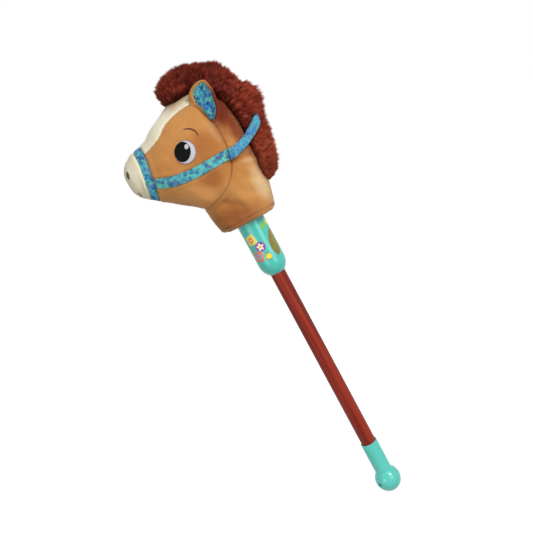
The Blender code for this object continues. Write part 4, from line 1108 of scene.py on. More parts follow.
# Where the mane cups the rein it is narrower by a share, and its edges bend in by a depth
CUP_SHARE, CUP_DEPTH = 0.45, 0.0030
TAB_REACH, TAB_ROWS = 0.0034, 6
TACK_X, TACK_WIDTH, TACK_LENGTH, TACK_SIDE = 0.0192, 0.0019, 0.0152, 0.0591
TACK_HEIGHT, TACK_LEAN = 0.0007, 0.0010


def ribbon_section(count=26):
    """A strap's section as places across it from -1 to 1 and heights from 0 to 1: a folded
    strip, whose faces sink at a line of stitches near each edge and round off at the edge."""
    across = np.linspace(-1.0, 1.0, count)
    edge = (1 - np.abs(across) ** 26) ** 0.5
    groove = np.exp(-((np.abs(across) - 0.76) / 0.055) ** 2)
    top = 0.5 + 0.5 * edge - 0.20 * groove
    bottom = 0.5 - 0.5 * edge
    return np.r_[across, across[-2:0:-1]], np.r_[top, bottom[-2:0:-1]]


def cheek_strap(name, side, finish):
    """A strap that lies on the form along its route in the side view. Past the jowl it leaves
    the cloth and runs on under the rein, where the two are sewn together."""
    route = smooth_route(CHEEK_ROUTE, 120)
    across, height = ribbon_section()
    flat = route[:, None] + left_of(route)[:, None] * (across * STRAP_WIDTH / 2)[None, :, None]
    station, turn = find_on_form(flat[..., 0], flat[..., 1])
    turn = turn * side
    base = form(station, turn)
    run = run_of(route)
    sunk = STRAP_SINKS * (1 - smooth(run, 0.0040, 0.0090))[:, None]
    rise = sag(base) + STRAP_LIFT - sunk + STRAP_WALL * height
    points = base + outward(station, turn) * rise[..., None]
    reach = np.abs(points[..., 1])
    under_rein = REIN_ROUTE[0][1] - REIN_SEAT - STRAP_WALL * (1 - height)
    joined = reach + smooth(flat[..., 0], *STRAP_LEAVES) * (under_rein - reach)
    points[..., 1] = np.sign(points[..., 1]) * np.maximum(reach, joined)
    return strap_body(name, points, across, run, finish, flip=side > 0)


def strap_body(name, points, across, run, finish, flip=False, ring=False):
    """The strap's sections as a surface, with a map in metres of the way across and the run
    along it. Unless it is a ring, each end is closed by a row at its section's own middle."""
    uv = np.stack(np.meshgrid(across * STRAP_WIDTH / 2, run, indexing="xy"), -1)
    if not ring:
        ends = [
            np.broadcast_to(row.mean(1, keepdims=True), row.shape)
            for row in (points[:1], points[-1:])
        ]
        points = np.concatenate([ends[0], points, ends[1]])
        uv = np.concatenate([uv[:1], uv, uv[-1:]])
    return put_grid(name, points, finish, round_rows=ring, round_columns=True, flip=flip, uv=uv)


def bridle():
    """The noseband round the muzzle and the strap on each cheek."""
    cloth_print = webbing("printed_webbing")
    greener = webbing("printed_cheek", 0.08, (0.60, 0.95, 0.55))
    across, height = ribbon_section(34)
    turns = np.linspace(-math.pi, math.pi, 240, endpoint=False)
    turn = np.broadcast_to(turns[:, None], (len(turns), len(across)))
    station = noseband_station(turn) + across * NOSEBAND_HALF
    base = form(station, turn)
    rise = sag(base) + NOSEBAND_LIFT + NOSEBAND_WALL * height
    points = base + outward(station, turn) * rise[..., None]
    middle = form(noseband_station(turns), turns)
    run = run_of(middle)
    band = strap_body("noseband_strap", points, across, run, cloth_print, ring=True)
    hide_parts("noseband")
    dress(band, "noseband")
    for word, side in SIDES:
        strap = cheek_strap("cheek_" + word, side, greener)
        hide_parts("cheek_strap_" + word)
        dress(strap, "cheek_strap_" + word)


def rein():
    """The loop of webbing from stitch to stitch. Its sections stand across the path, and lean
    towards the crest as it goes round the back of the mane, where the fur cups it."""
    half = smooth_route(REIN_ROUTE, 110)
    left = half * np.array([1.0, -1.0, 1.0])
    path = np.vstack([left, half[-2::-1]])
    path[:, 2] += NECK_BASE
    way = unit(np.gradient(path, axis=0))
    share = 1 - np.abs(np.linspace(-1, 1, len(path)))
    lean = REIN_LEAN * np.sin(math.pi * share) * np.sign(-path[:, 1])
    wide = np.stack([REIN_TILT * share**2, lean, np.ones(len(path))], 1)
    reach = np.linspace(0, TAB_REACH, TAB_ROWS + 1)[1:, None]
    path = np.vstack([path[0] - way[0] * reach[::-1], path, path[-1] + way[-1] * reach])
    wide, way = [
        np.vstack([np.tile(rows[0], (TAB_ROWS, 1)), rows, np.tile(rows[-1], (TAB_ROWS, 1))])
        for rows in (wide, way)
    ]
    wide = unit(wide - (wide * way).sum(1)[:, None] * way)
    out = np.cross(way, wide)
    across, height = ribbon_section()
    flat_tab = np.zeros(TAB_ROWS)
    cupped = np.r_[flat_tab, smooth(share, 0.50, 0.92), flat_tab][:, None]
    spread = across * (1 - CUP_SHARE * cupped) * STRAP_WIDTH / 2
    rise = height * REIN_WALL - CUP_DEPTH * cupped * across**2
    points = path[:, None] + wide[:, None] * spread[..., None] + out[:, None] * rise[..., None]
    finish = webbing("printed_rein", 0.35)
    strap = strap_body("rein_strap", points, across, run_of(path), finish, flip=True)
    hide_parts("rein_loop")
    dress(strap, "rein_loop", body="rein")


# Ears

EAR_OUTLINE = (
    (0.0216, 0.1612), (0.0168, 0.1728), (0.0131, 0.1850), (0.0087, 0.1930), (0.0031, 0.1993),
    (0.0028, 0.2063), (0.0057, 0.2120), (0.0085, 0.2154), (0.0124, 0.2188), (0.0175, 0.2215),
    (0.0238, 0.2233), (0.0301, 0.2235), (0.0367, 0.2210), (0.0402, 0.2160), (0.0412, 0.2099),
    (0.0421, 0.2027), (0.0422, 0.1953), (0.0413, 0.1877), (0.0399, 0.1805), (0.0379, 0.1737),
    (0.0342, 0.1679), (0.0293, 0.1633), (0.0255, 0.1614),
)
LINING_OUTLINE = (
    (0.0216, 0.1628), (0.0186, 0.1674), (0.0168, 0.1756), (0.0153, 0.1840), (0.0139, 0.1908),
    (0.0119, 0.1958), (0.0113, 0.2011), (0.0117, 0.2066), (0.0153, 0.2145), (0.0203, 0.2172),
    (0.0270, 0.2197), (0.0308, 0.2202), (0.0349, 0.2183), (0.0372, 0.2142), (0.0383, 0.2083),
    (0.0388, 0.2017), (0.0378, 0.1949), (0.0368, 0.1887), (0.0354, 0.1815), (0.0333, 0.1747),
    (0.0306, 0.1698), (0.0256, 0.1654),
)
HINGE_FOOT, HINGE_BROW = np.array((0.0215, 0.1625)), np.array((0.0058, 0.1985))
EAR_LEAN, EAR_CUP, EAR_BASE_BULGE = 0.50, 0.0034, 0.0050
EAR_FOOT = 0.0025
EAR_SEAT = 0.0006
EAR_PUFF = 0.0052
EAR_RIM = 0.0026
EAR_COLUMNS = 144
RIM_ROWS, BACK_ROWS, UNDER_ROWS, SHEET_ROWS = 15, 22, 9, 34
# How far the rim's roll starts above the ear's plane, and the face under the lining and the
# back's own edge lie below it
ROLL_SEAT, UNDER_DEPTH, BACK_DEPTH = 0.0004, 0.0016, 0.0010
# The lining's height, how far its edge comes down, its gathers, its waves and its wall
LINING_LIFT, LINING_EDGE, LINING_GATHER = 0.0012, 0.0009, 0.00035
LINING_WAVE, LINING_WALL = 0.0005, 0.0006
# The rim's roll starts at this share of the lining's reach, under the lining's edge, and the
# back at this share of the ear's reach
RIM_FROM, BACK_FROM = 0.985, 0.985


def side_reach(x, z):
    """How far to the side the form reaches at places in the side view."""
    station, turn = find_on_form(x, z)
    return -form(station, turn)[..., 1]


def ear_surface(flat, ring, lift):
    """Points of the ear at places in the side view. The side distance grows with the distance
    from the hinge line, the middle is cupped towards the head, and what lies by the hinge
    line comes down to the cloth of the head."""
    ends = side_reach(*np.stack([HINGE_FOOT, HINGE_BROW], 1))
    foot_y, brow_y = -ends - EAR_FOOT
    length = np.linalg.norm(HINGE_BROW - HINGE_FOOT)
    line = (HINGE_BROW - HINGE_FOOT) / length
    off = (flat - HINGE_FOOT) @ np.array([line[1], -line[0]])
    share = (flat - HINGE_FOOT) @ line / length
    bulge = np.maximum(4 * EAR_BASE_BULGE * share * (1 - share), 0.0)
    y = foot_y + (brow_y - foot_y) * share - bulge - EAR_LEAN * off
    y = y + EAR_CUP * (1 - ring**2)
    seat = -side_reach(flat[..., 0], flat[..., 1]) - EAR_SEAT
    seated = (1 - smooth(off, -0.001, 0.0075)) * smooth(ring, 0.55, 0.95)
    y = y + (np.maximum(seat, y) - y) * seated - lift
    return np.stack([flat[..., 0], y, flat[..., 1] + NECK_BASE], -1)


def ears():
    """A tan back, puffed and rolled over at its rim, and a printed lining sewn inside the
    rim, each a closed skin of rings from its front middle over its edge to its back middle."""
    tan = bpy.data.materials["tan_velour"]
    lining_cloth = webbing("printed_lining")
    outer, inner = [
        smooth_route(np.vstack([outline, outline[:1]]), EAR_COLUMNS + 1)[:-1]
        for outline in (EAR_OUTLINE, LINING_OUTLINE)
    ]
    middle = np.array(LINING_OUTLINE).mean(0)
    reach = np.linalg.norm(outer - middle, axis=1)
    within = np.linalg.norm(inner - middle, axis=1) / reach

    roll = np.linspace(0.0, math.pi, RIM_ROWS)[:, None]
    start = inner * RIM_FROM + middle * (1 - RIM_FROM)
    front = start + (outer - start) * ((1 - np.cos(roll)) / 2)[..., None]
    front_ring = np.linalg.norm(front - middle, axis=2) / reach
    rim = EAR_RIM * np.sin(roll) ** 0.8 + ROLL_SEAT * np.cos(roll)
    front_lift = np.broadcast_to(rim, front_ring.shape)
    back_share = np.linspace(BACK_FROM, 0.0, BACK_ROWS)[:, None]
    back = middle + (outer - middle) * back_share[..., None]
    back_ring = np.broadcast_to(back_share, (BACK_ROWS, EAR_COLUMNS))
    puff = -EAR_PUFF * (1 - back_share**3) ** 0.7 - BACK_DEPTH
    back_lift = np.broadcast_to(puff, (BACK_ROWS, EAR_COLUMNS))
    under_share = np.linspace(0.0, 0.96, UNDER_ROWS)[:, None]
    under = middle + (inner - middle) * under_share[..., None]
    under_lift = np.full((UNDER_ROWS, EAR_COLUMNS), -UNDER_DEPTH)
    flat = np.concatenate([under, front, back])
    ring = np.concatenate([under_share * within, front_ring, back_ring])
    lift = np.concatenate([under_lift, front_lift, back_lift])

    t = np.linspace(0.0, 1.0, SHEET_ROWS)[:, None] ** 0.8
    there_and_back = np.r_[t, t[-2::-2]]
    sheet = middle + (inner - middle) * there_and_back[..., None]
    sheet_ring = there_and_back * within
    angle = np.linspace(0, math.tau, EAR_COLUMNS, endpoint=False)
    gather = LINING_GATHER * np.cos(17 * angle + 2 * np.sin(2 * angle)) * np.exp(-(1 - t) / 0.12)
    top = LINING_LIFT - LINING_EDGE * t**10 + gather + LINING_WAVE * np.sin(3 * angle) * t
    sheet_lift = np.r_[top, top[-2::-2] - LINING_WALL]
    for word, side in SIDES:
        for name, node, places, rings, lifts, finish in (
            ("ear_leaf_", "ear_back_", flat, ring, lift, tan),
            ("ear_print_", "ear_lining_", sheet, sheet_ring, sheet_lift, lining_cloth),
        ):
            points = ear_surface(places, rings, lifts)
            points[..., 1] *= side
            piece = put_grid(name + word, points, finish, round_columns=True, flip=side < 0)
            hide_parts(node + word)
            dress(piece, node + word, body="ear_" + word)


# Embroidery

EYE_PLACE, EYE_TURN = (-0.0413, 0.1427), -0.49
THREAD_BLACK, THREAD_WHITE = (0.055, 0.055, 0.060), (0.860, 0.845, 0.870)
THREAD_LILAC, THREAD_MAROON = (0.56, 0.51, 0.60), (0.42, 0.12, 0.09)
THREAD_GREY = (0.27, 0.24, 0.21)
BROW_ROUTE = (
    (-0.0247, 0.1727), (-0.0190, 0.1706), (-0.0138, 0.1675), (-0.0096, 0.1608), (-0.0090, 0.1526),
)
MOUTH_ROUTE = ((-0.1339, 0.1233), (-0.1316, 0.1195), (-0.1331, 0.1133))
# How high a disc's edge lies, how much its middle swells, and how deep its underside lies
DISC_EDGE, DISC_SWELL, DISC_UNDER = 0.0003, 0.00055, 0.0004
LINE_HEIGHT, LINE_SWELL = 0.0002, 0.0007
NOSTRIL_PLACE, NOSTRIL_SIZE, NOSTRIL_TURN = (-0.1343, 0.1527), (0.0050, 0.0130), -0.20
BROW_WIDTH, MOUTH_WIDTH = 0.0022, 0.0018


def stitched_disc(name, place, size, turn, level, finish, side, inner=0.0):
    """A padded ellipse of satin stitch on the cloth, or a ring where an inner share is given:
    rings of points on top from the inside out, then below from the outside in."""
    angle = np.linspace(0, math.tau, 96, endpoint=False)
    share = inner + (1 - inner) * np.linspace(0, 1, 22)
    t = (share - inner) / (1 - inner)
    swell = (1 - np.abs(2 * t - 1) ** 4) ** 0.5 if inner else (1 - t**8) ** 0.5
    ring = np.r_[share, share[::-1]]
    height = np.r_[DISC_EDGE + DISC_SWELL * swell, np.full(len(share), -DISC_UNDER)] + level
    x = ring[:, None] * np.cos(angle) * size[0] / 2
    z = ring[:, None] * np.sin(angle) * size[1] / 2
    px = place[0] + x * math.cos(turn) - z * math.sin(turn)
    pz = place[1] + x * math.sin(turn) + z * math.cos(turn)
    station, bearing = find_on_form(px, pz)
    points = cloth(station, bearing * side, height[:, None])
    return put_grid(name, points, finish, round_rows=inner > 0, round_columns=True, flip=side > 0)


def stitched_line(name, route, width, finish, side):
    """A line of satin stitch that narrows at its ends, as round sections along the route."""
    line = smooth_route(route, 60)
    t = np.linspace(-1, 1, 60)
    swell = (1 - np.abs(t) ** 3) ** 0.5
    angle = np.linspace(0, math.tau, 14, endpoint=False)
    spread = (np.cos(angle) * width / 2)[None, :, None] * swell[:, None, None]
    flat = line[:, None] + left_of(line)[:, None] * spread
    station, bearing = find_on_form(flat[..., 0], flat[..., 1])
    height = LINE_HEIGHT + LINE_SWELL * np.sin(angle)[None] * swell[:, None]
    points = cloth(station, bearing * side, height)
    return put_grid(name, points, finish, round_columns=True, flip=side < 0)


def face_details():
    """Eyes, brows, nostrils and mouth."""
    # The second colour of each thread is its painted shade between the threads
    black = satin_thread("black_thread", THREAD_BLACK, (0.02, 0.02, 0.025), 1.35, matt=True)
    white = satin_thread("white_thread", THREAD_WHITE, (0.76, 0.745, 0.76), 1.45)
    lilac = satin_thread("lilac_thread", THREAD_LILAC, (0.52, 0.48, 0.56), 0.6)
    maroon = satin_thread("maroon_thread", THREAD_MAROON, (0.32, 0.08, 0.06), 0.5)
    grey = satin_thread("grey_thread", THREAD_GREY, (0.20, 0.17, 0.15), 0.2)
    white_at = (EYE_PLACE[0] + 0.0034, EYE_PLACE[1] - 0.0022)
    glint_at = (EYE_PLACE[0] + 0.0090, EYE_PLACE[1] + 0.0036)
    for word, side in SIDES:
        discs = (
            ("eye_white_", white_at, (0.0316, 0.0346), EYE_TURN, 0.0000, white),
            ("eye_pupil_", EYE_PLACE, (0.0254, 0.0304), EYE_TURN, 0.0005, black),
            ("eye_glint_", glint_at, (0.0062, 0.0078), EYE_TURN, 0.0010, white),
            ("nostril_", NOSTRIL_PLACE, NOSTRIL_SIZE, NOSTRIL_TURN, 0.0000, grey),
        )
        for name, place, size, turn, level, thread in discs:
            disc = stitched_disc("stitched_" + name + word, place, size, turn, level, thread, side)
            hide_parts(name + word)
            dress(disc, name + word)
        around = (white_at, (0.0330, 0.0360), EYE_TURN, 0.0001, lilac, side)
        rim = stitched_disc("eye_rim_" + word, *around, inner=0.93)
        dress(rim, "eye_white_" + word)
        for name, route, width in (
            ("brow_", BROW_ROUTE, BROW_WIDTH), ("mouth_", MOUTH_ROUTE, MOUTH_WIDTH),
        ):
            line = stitched_line("stitched_" + name + word, route, width, maroon, side)
            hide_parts(name + word)
            dress(line, name + word)


# Stitches

HEM_STITCH, HEM_SPACE = 0.0025, 0.0035
STITCH_RADIUS = 0.00034
STITCH_ROWS, STITCH_SIDES = 5, 6


def stitches(name, path, out, finish):
    """Short threads along a path: each is a round section that swells and shrinks along it as
    a half sine, and dips into the cloth at both ends."""
    run = run_of(path)
    count = int(run[-1] / HEM_SPACE)
    starts = np.arange(count) * run[-1] / count
    t = np.linspace(0, 1, STITCH_ROWS)
    where = starts[:, None] + t[None] * HEM_STITCH
    spine = np.stack([np.interp(where, run, path[:, k]) for k in range(3)], -1)
    up = unit(np.stack([np.interp(where, run, out[:, k]) for k in range(3)], -1))
    side = np.cross(up, unit(spine[:, -1:] - spine[:, :1]))
    arch = np.sin(math.pi * np.clip(t, 0.04, 0.96))
    angle = np.arange(STITCH_SIDES) * math.tau / STITCH_SIDES
    ring = np.cos(angle)[:, None] * side[:, :, None] + np.sin(angle)[:, None] * up[:, :, None]
    swell = (STITCH_RADIUS * (0.35 + 0.65 * arch))[None, :, None, None]
    spine = spine + up * (STITCH_RADIUS * (1.6 * arch - 0.9))[None, :, None]
    points = spine[:, :, None] + ring * swell
    body = grid_faces(STITCH_ROWS, STITCH_SIDES, round_columns=True)
    around = STITCH_ROWS * STITCH_SIDES
    k = np.arange(STITCH_SIDES)
    m = (k + 1) % STITCH_SIDES
    last = around - STITCH_SIDES
    caps = [
        np.stack([m, k, np.full(STITCH_SIDES, around)], 1),
        np.stack([last + k, last + m, np.full(STITCH_SIDES, around + 1)], 1),
    ]
    sides = np.concatenate([body[:, [0, 1, 2]], body[:, [0, 2, 3]], *caps])
    ends = np.stack([points[:, 0].mean(1), points[:, -1].mean(1)], 1)
    flat = np.concatenate([points.reshape(count, around, 3), ends], 1)
    faces = sides[None] + (np.arange(count) * (around + 2))[:, None, None]
    return put_mesh(name, flat.reshape(-1, 3), faces.reshape(-1, 3), finish)


def hem_stitches():
    """Two rows of stitches round the neck: the height of each is met on the form by halving."""
    thread = satin_thread("tan_thread", (0.54, 0.32, 0.16), (0.42, 0.24, 0.11), 0.9)
    turn = np.linspace(-math.pi, math.pi, 721)
    for number, line in enumerate(HEM_LINES):
        low, high = np.full(len(turn), 13.0), np.full(len(turn), LAST_STATION)
        for _ in range(26):
            half = (low + high) / 2
            above = form(half, turn, neck_step(turn))[..., 2] > NECK_BASE + line
            low, high = np.where(above, half, low), np.where(above, high, half)
        path = cloth(half, turn, 0.0003, neck_step(turn))
        out = outward(half, turn, neck_step(turn))
        row = stitches("hem_stitches_%d" % (number + 1), path, out, thread)
        dress(row, "neck_panel_left")


def bar_tacks():
    """A close row of dark satin stitches across the strap where the rein is sewn to it."""
    navy = satin_thread("navy_thread", (0.06, 0.08, 0.20), (0.03, 0.04, 0.11), 0.1)
    t = np.linspace(-1, 1, 40)
    angle = np.linspace(0, math.tau, 16, endpoint=False)
    swell = (1 - np.abs(t) ** 8) ** 0.5
    bumps = 1 + 0.10 * np.cos(t * math.pi * 19)
    girth = (swell * bumps)[:, None]
    for word, side in SIDES:
        x = TACK_X + TACK_LEAN * t[:, None] + np.cos(angle) * TACK_WIDTH / 2 * girth
        z = NECK_BASE + REIN_AXIS[1] + t[:, None] * TACK_LENGTH / 2 + 0 * angle
        y = -(TACK_SIDE + TACK_HEIGHT * np.sin(angle) * girth)
        points = np.stack([x, y * side, z], -1)
        tack = close_grid("bar_tack_" + word, points, navy, flip=side > 0)
        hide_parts("rein_stitch_" + word)
        dress(tack, "rein_stitch_" + word)


# Mane

# Each is a station, the height of the fur's backing and the height of the fur's tips
MANE_HEIGHTS = np.array([
    (8.00, 0.001, 0.013), (8.08, 0.009, 0.027), (8.20, 0.018, 0.0365), (8.42, 0.024, 0.0410),
    (8.85, 0.026, 0.0440), (9.25, 0.026, 0.0430), (9.50, 0.027, 0.0460), (9.80, 0.029, 0.0510),
    (10.15, 0.029, 0.0490), (10.48, 0.028, 0.0465), (10.66, 0.027, 0.0420), (10.78, 0.029, 0.0450),
    (10.90, 0.031, 0.0560), (11.05, 0.031, 0.0605), (11.22, 0.028, 0.0575), (11.40, 0.022, 0.0520),
    (11.68, 0.018, 0.0450), (12.00, 0.017, 0.0435), (12.45, 0.016, 0.0395), (12.95, 0.014, 0.0350),
    (13.35, 0.009, 0.0240), (13.58, 0.003, 0.009),
])
MANE_FROM, MANE_TO = 8.00, 13.58
MANE_BACKING_HALF, MANE_FOOT = 0.0225, 0.010
# How many stations the ridge takes to round off at each end
MANE_ROUND = 0.5
STRANDS, STRANDS_PER_PIECE, TUFTS = 105000, 17500, 4200
# What is added to the strands' tint, by station: painted shade over the poll and the middle of the
# ridge, and painted light on the forelock and towards the foot
MANE_PAINTED_LIGHT_AND_SHADE = (
    (8.10, 8.45, 9.00, 9.80, 10.50, 10.90, 12.00, 13.10),
    (0.14, -0.02, -0.44, -0.42, -0.20, 0.00, 0.02, 0.50),
)
# How far inside the rein the fur stays, and how near to it in the side view it is held there:
# wholly up to the first distance, and no longer past the second
REIN_CLEAR, REIN_HOLDS = 0.0035, (0.0105, 0.0150)
# How deep a strand starts in the backing, and how thick it is at its root and its middle
STRAND_ROOTED, STRAND_RADII = 0.0008, (0.00028, 0.00022)
MANE_ARCH = math.radians(88)


def crest_at(station):
    """Crest points and the ways that point straight out of them in the plane y = 0."""
    e = 0.02
    top = np.full(station.shape, math.pi)
    run = form(station + e, top) - form(station - e, top)
    out = np.stack([-run[..., 2], np.zeros(station.shape), run[..., 0]], -1)
    return form(station, top), unit(out)


def ridge(station, arch):
    """The backing's surface: a rounded arch over the crest. The foot of the arch rests on the
    cloth, the rise is the height times a power of the cosine."""
    crest, up = crest_at(station)
    height = np.interp(station, MANE_HEIGHTS[:, 0], MANE_HEIGHTS[:, 1])
    ends = np.clip(np.minimum(station - MANE_FROM, MANE_TO - station) / MANE_ROUND, 0, 1)
    rounded = np.sqrt(1 - (1 - ends) ** 2)
    wide = MANE_BACKING_HALF * rounded
    foot = -MANE_FOOT * rounded
    rise = foot + (height - foot) * np.cos(arch) ** 0.8
    points = crest + up * rise[..., None]
    points[..., 1] = wide * np.sin(arch)
    return points


def fur_finish(name):
    """Fur: dark at the root, redder and lighter at the tip, with a tint for each strand. The
    map holds the strand's tint across and the way from root to tip."""
    look = Finish(name, specular=0.22, roughness=0.62)
    tint, way, _ = look.parts(look.uv("OFBake"))
    tone = look.ramp(way, (
        (0.00, (0.18, 0.022, 0.018)),
        (0.42, (0.37, 0.080, 0.050)),
        (0.75, (0.57, 0.165, 0.088)),
        (1.00, (0.71, 0.290, 0.160)),
    ))
    dark = look.mix(0.55, tone, (0.18, 0.03, 0.02))
    light = look.mix(0.38, tone, (0.84, 0.46, 0.30))
    tone = look.mix(look.step(tint, 0.0, 0.5), dark, tone)
    tone = look.mix(look.step(tint, 0.5, 1.0), tone, light)
    patch = look.noise(look.place(), 42.0, 2.0, 0.5)
    tone = look.mix(look.step(patch, 0.42, 0.70) * 0.30, tone, (0.30, 0.06, 0.04))
    return look.set(base_color=tone)


def mane():
    """A backing ridge and the fur that grows from it in tufts."""
    backing = Finish("mane_backing", roughness=0.9)
    weave = backing.noise(backing.place(), 900.0, 2.0)
    backing = backing.set(base_color=backing.mix(weave, (0.20, 0.05, 0.035), (0.30, 0.09, 0.06)))
    arches = np.linspace(-MANE_ARCH, MANE_ARCH, 48)
    station, arch = np.meshgrid(np.linspace(MANE_FROM, MANE_TO, 160), arches, indexing="ij")
    grid = ridge(station, arch)
    core = close_grid("mane_core", grid, backing, flip=True)
    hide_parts("mane")
    dress(core, "mane")

    rng = np.random.default_rng(11)
    a = grid[1:, :-1] - grid[:-1, :-1]
    b = grid[:-1, 1:] - grid[:-1, :-1]
    area = np.linalg.norm(np.cross(a, b), axis=-1)
    chance = np.cumsum(area.ravel()) / area.sum()

    def scatter(count):
        """Random places on the ridge, even by area: station, arch and point."""
        cell = np.searchsorted(chance, rng.uniform(size=count))
        i, j = np.divmod(cell, area.shape[1])
        s = station[i, 0] + rng.uniform(size=count) * (station[1, 0] - station[0, 0])
        r = arch[0, j] + rng.uniform(size=count) * (arch[0, 1] - arch[0, 0])
        return s, r, ridge(s, r)

    tuft_s, tuft_r, tuft_at = scatter(TUFTS)
    s, r, root = scatter(STRANDS)
    near = nearest(root, tuft_at)

    def facing(s, r):
        """The ridge's normal and its downward run."""
        e = 0.01
        down = ridge(s + e, r) - ridge(s - e, r)
        over = ridge(s, r + e) - ridge(s, r - e)
        return unit(np.cross(down, over)), unit(down)

    def combed(at, s, r, loose):
        """The way that fur lies: out of the ridge and up from the neck, swept down along the
        ridge, in slow drifts."""
        normal, down = facing(s, r)
        _, up = crest_at(s)
        drift, curl = [
            np.stack([ripple(at, wavelength, seed + k) for k in range(3)], 1)
            for wavelength, seed in ((0.045, 31), (0.012, 41))
        ]
        lie = normal * 0.60 + up * 0.62 + down * 0.26 + drift * 0.22 + curl * 0.16
        lie += rng.normal(size=normal.shape) * loose
        return unit(lie)

    def reach(s, r):
        """How long the fur is: full on the ridge's top, and longer low on its sides, where it
        lies along the ridge."""
        full = np.interp(s, MANE_HEIGHTS[:, 0], MANE_HEIGHTS[:, 2] - MANE_HEIGHTS[:, 1])
        return full * (1 + 0.10 * np.sin(r) ** 2)

    length = reach(tuft_s, tuft_r) * rng.uniform(0.75, 1.07, TUFTS)
    tip = tuft_at + combed(tuft_at, tuft_s, tuft_r, 0.13) * length[:, None]
    tint = np.clip(0.5 + 0.26 * rng.normal(size=TUFTS), 0.02, 0.98)

    lie = combed(root, s, r, 0.06)
    own = root + lie * (reach(s, r) * rng.uniform(0.84, 1.06, STRANDS))[:, None]
    drawn = tip[near] + rng.normal(size=(STRANDS, 3)) * 0.0007 + (root - tuft_at[near]) * 0.12
    hold = (0.90 * rng.uniform(size=STRANDS) ** 0.35)[:, None]
    end = own * (1 - hold) + drawn * hold
    end = root + (end - root) * rng.uniform(0.76, 1.04, STRANDS)[:, None]
    rise = np.linalg.norm(end - root, axis=1)[:, None]
    normal, _ = facing(s, r)
    bend_out = normal * 0.15 + rng.normal(size=(STRANDS, 3)) * 0.03
    middle = root * 0.46 + end * 0.54 + bend_out * rise
    shade = tint[near] + rng.normal(size=STRANDS) * 0.14
    # Painted light and shade by station, over each tuft's own random tint
    shade = np.clip(shade + np.interp(s, *MANE_PAINTED_LIGHT_AND_SHADE), 0.02, 0.98)
    middle, end = pressed(middle), pressed(end)
    fur = fur_finish("mane_fur")
    for number, start in enumerate(range(0, STRANDS, STRANDS_PER_PIECE)):
        cut = slice(start, start + STRANDS_PER_PIECE)
        grown = (root[cut], middle[cut], end[cut], shade[cut])
        piece = strands("mane_fur_%d" % (number + 1), *grown, fur)
        dress(piece, "mane")


def pressed(points):
    """Fur under the rein: beside the strap it keeps inside the loop, by the loop's own side
    distance at the nearest place on its route. Round the back the fur closes over the strap."""
    route = smooth_route(REIN_ROUTE, 60)
    seen = points[:, [0, 2]] - np.array([0.0, NECK_BASE])
    away = np.linalg.norm(seen[:, None] - route[None][..., [0, 2]], axis=-1)
    mark = away.argmin(1)
    limit = np.maximum(route[mark, 1] - REIN_CLEAR, 0.0)
    share = 1 - smooth(away[np.arange(len(points)), mark], *REIN_HOLDS)
    share = share * smooth(route[mark, 1], 0.012, 0.026)
    side = np.abs(points[:, 1])
    held = np.minimum(side, limit) * share + side * (1 - share)
    return np.stack([points[:, 0], np.sign(points[:, 1]) * held, points[:, 2]], 1)


def strands(name, root, middle, end, shade, finish):
    """Three-sided strands that thin from root to tip: two rings of three points, a tip and a
    face that closes the root."""
    count = len(root)
    way = unit(end - root)
    side = unit(np.cross(way, np.array((0.31, 0.77, 0.55))))
    other = np.cross(way, side)
    turn = (np.arange(3) * math.tau / 3)[None, :, None]
    ring = np.cos(turn) * side[:, None] + np.sin(turn) * other[:, None]
    low = root[:, None] - way[:, None] * STRAND_ROOTED + ring * STRAND_RADII[0]
    high = middle[:, None] + ring * STRAND_RADII[1]
    points = np.concatenate([low, high, end[:, None]], 1)
    k = np.arange(3)
    m = (k + 1) % 3
    sides = np.concatenate([np.stack([k, m, m + 3], 1), np.stack([k, m + 3, k + 3], 1)])
    caps = np.stack([k + 3, m + 3, np.full(3, 6)], 1)
    one = np.concatenate([sides, caps, [[2, 1, 0]]])
    faces = one[None] + (np.arange(count) * 7)[:, None, None]
    piece = put_mesh(name, points.reshape(-1, 3), faces.reshape(-1, 3), finish)
    run = np.array([0.0, 0.0, 0.0, 0.55, 0.55, 0.55, 1.0]) * 0.98 + 0.01
    width = np.array([-0.002, 0.0, 0.002, -0.002, 0.0, 0.002, 0.0])
    uv = np.stack([shade[:, None] + width[None], np.broadcast_to(run, (count, 7))], -1)
    lay_map(piece, "OFBake", uv)
    return piece


# Floor, light and camera

# Each is a name, a place, the height it points at, its size and its power
LAMPS = (
    ("key_light", (1.15, -1.30, 1.35), 0.55, 0.60, 23.0),
    ("fill_light", (-1.2, -1.4, 0.40), 0.5, 1.2, 9.5),
    ("low_light", (0.9, -1.5, 0.15), 0.55, 0.9, 8.0),
    ("back_light", (-0.4, 1.5, 1.7), 0.55, 1.2, 12.0),
)
FLOOR_REACH = 6
# The world's strength as it lights the object. The camera and gloss see it at 1.
SKY_LIGHT = 0.36
CAMERA_PLACE, CAMERA_AIM = (-0.0118, -1.0101, 0.5897), (-0.0118, 0.0, 0.4477)
CAMERA_ROLL = -28.30
# The photograph's side and its focal length, both in its pixels, and the sensor in millimetres
PHOTO_SIDE, FOCAL_LENGTH, SENSOR = 533.0, 622.0, 36.0


def lamp(name, place, height, size, power):
    light = bpy.data.lights.new(name, "AREA")
    light.shape = "DISK"
    light.size = size
    light.energy = power
    lit = bpy.data.objects.new(name, light)
    lit.location = place
    way = Vector((0.0, 0.0, height)) - Vector(place)
    lit.rotation_euler = way.to_track_quat("-Z", "Y").to_euler()
    bpy.context.scene.collection.objects.link(lit)


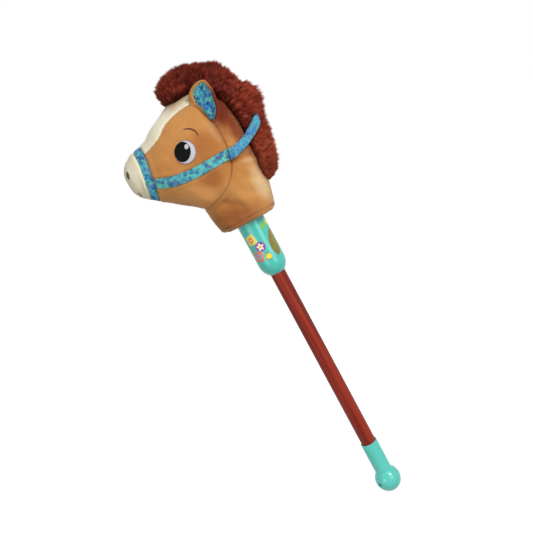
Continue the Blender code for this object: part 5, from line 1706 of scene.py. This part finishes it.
def studio():
    """A pale floor and world that the camera sees as white, soft lamps, and the camera."""
    scene = bpy.context.scene
    scene.view_settings.view_transform = "Standard"
    reach = np.linspace(-FLOOR_REACH, FLOOR_REACH, 3)
    points = np.stack(np.meshgrid(reach, reach, [0.0], indexing="ij"), -1)[:, :, 0]
    floor = put_grid("floor", points, white_ground("pale_floor"), flip=True)
    world = bpy.data.worlds.new("pale_world")
    world.use_nodes = True
    scene.world = world
    nodes, links = world.node_tree.nodes, world.node_tree.links
    sky = nodes["Background"]
    path = nodes.new("ShaderNodeLightPath")
    seen = nodes.new("ShaderNodeMath")
    seen.operation = "MAXIMUM"
    links.new(path.outputs["Is Camera Ray"], seen.inputs[0])
    links.new(path.outputs["Is Glossy Ray"], seen.inputs[1])
    level = nodes.new("ShaderNodeMapRange")
    level.inputs["To Min"].default_value = SKY_LIGHT
    level.inputs["To Max"].default_value = 1.0
    links.new(seen.outputs[0], level.inputs["Value"])
    links.new(level.outputs[0], sky.inputs["Strength"])
    sky.inputs["Color"].default_value = (1.0, 1.0, 1.0, 1.0)
    for values in LAMPS:
        lamp(*values)

    lens = bpy.data.cameras.new("camera")
    lens.sensor_width = SENSOR
    lens.lens = FOCAL_LENGTH / PHOTO_SIDE * SENSOR
    view = bpy.data.objects.new("camera", lens)
    place = Vector(CAMERA_PLACE)
    facing = (Vector(CAMERA_AIM) - place).to_track_quat("-Z", "Y").to_matrix().to_4x4()
    roll = Matrix.Rotation(math.radians(CAMERA_ROLL), 4, "Z")
    view.matrix_world = Matrix.Translation(place) @ facing @ roll
    scene.collection.objects.link(view)
    scene.camera = view


def white_ground(name):
    """Pale matt floor. The camera and gloss add a glow to it, so that only the object's
    shadow stands out from the white behind."""
    look = Finish(name, roughness=0.95)
    grain = look.noise(look.place(), 3.0, 3.0)
    tone = look.mix(grain * 0.2, (0.60, 0.60, 0.60), (0.57, 0.57, 0.57))
    path = look.nodes.new("ShaderNodeLightPath")
    rays = [Wire(look, path.outputs[kind]) for kind in ("Is Camera Ray", "Is Glossy Ray")]
    glow = look.mix(look.math("MAXIMUM", *rays), (0.0, 0.0, 0.0), (0.955, 0.955, 0.955))
    look.feed(look.shader.inputs["Emission Color"], glow)
    look.shader.inputs["Emission Strength"].default_value = 1.0
    return look.set(base_color=tone)


rigid_pieces()
small_parts()
head_cloth()
bridle()
rein()
ears()
face_details()
hem_stitches()
bar_tacks()
mane()
studio()
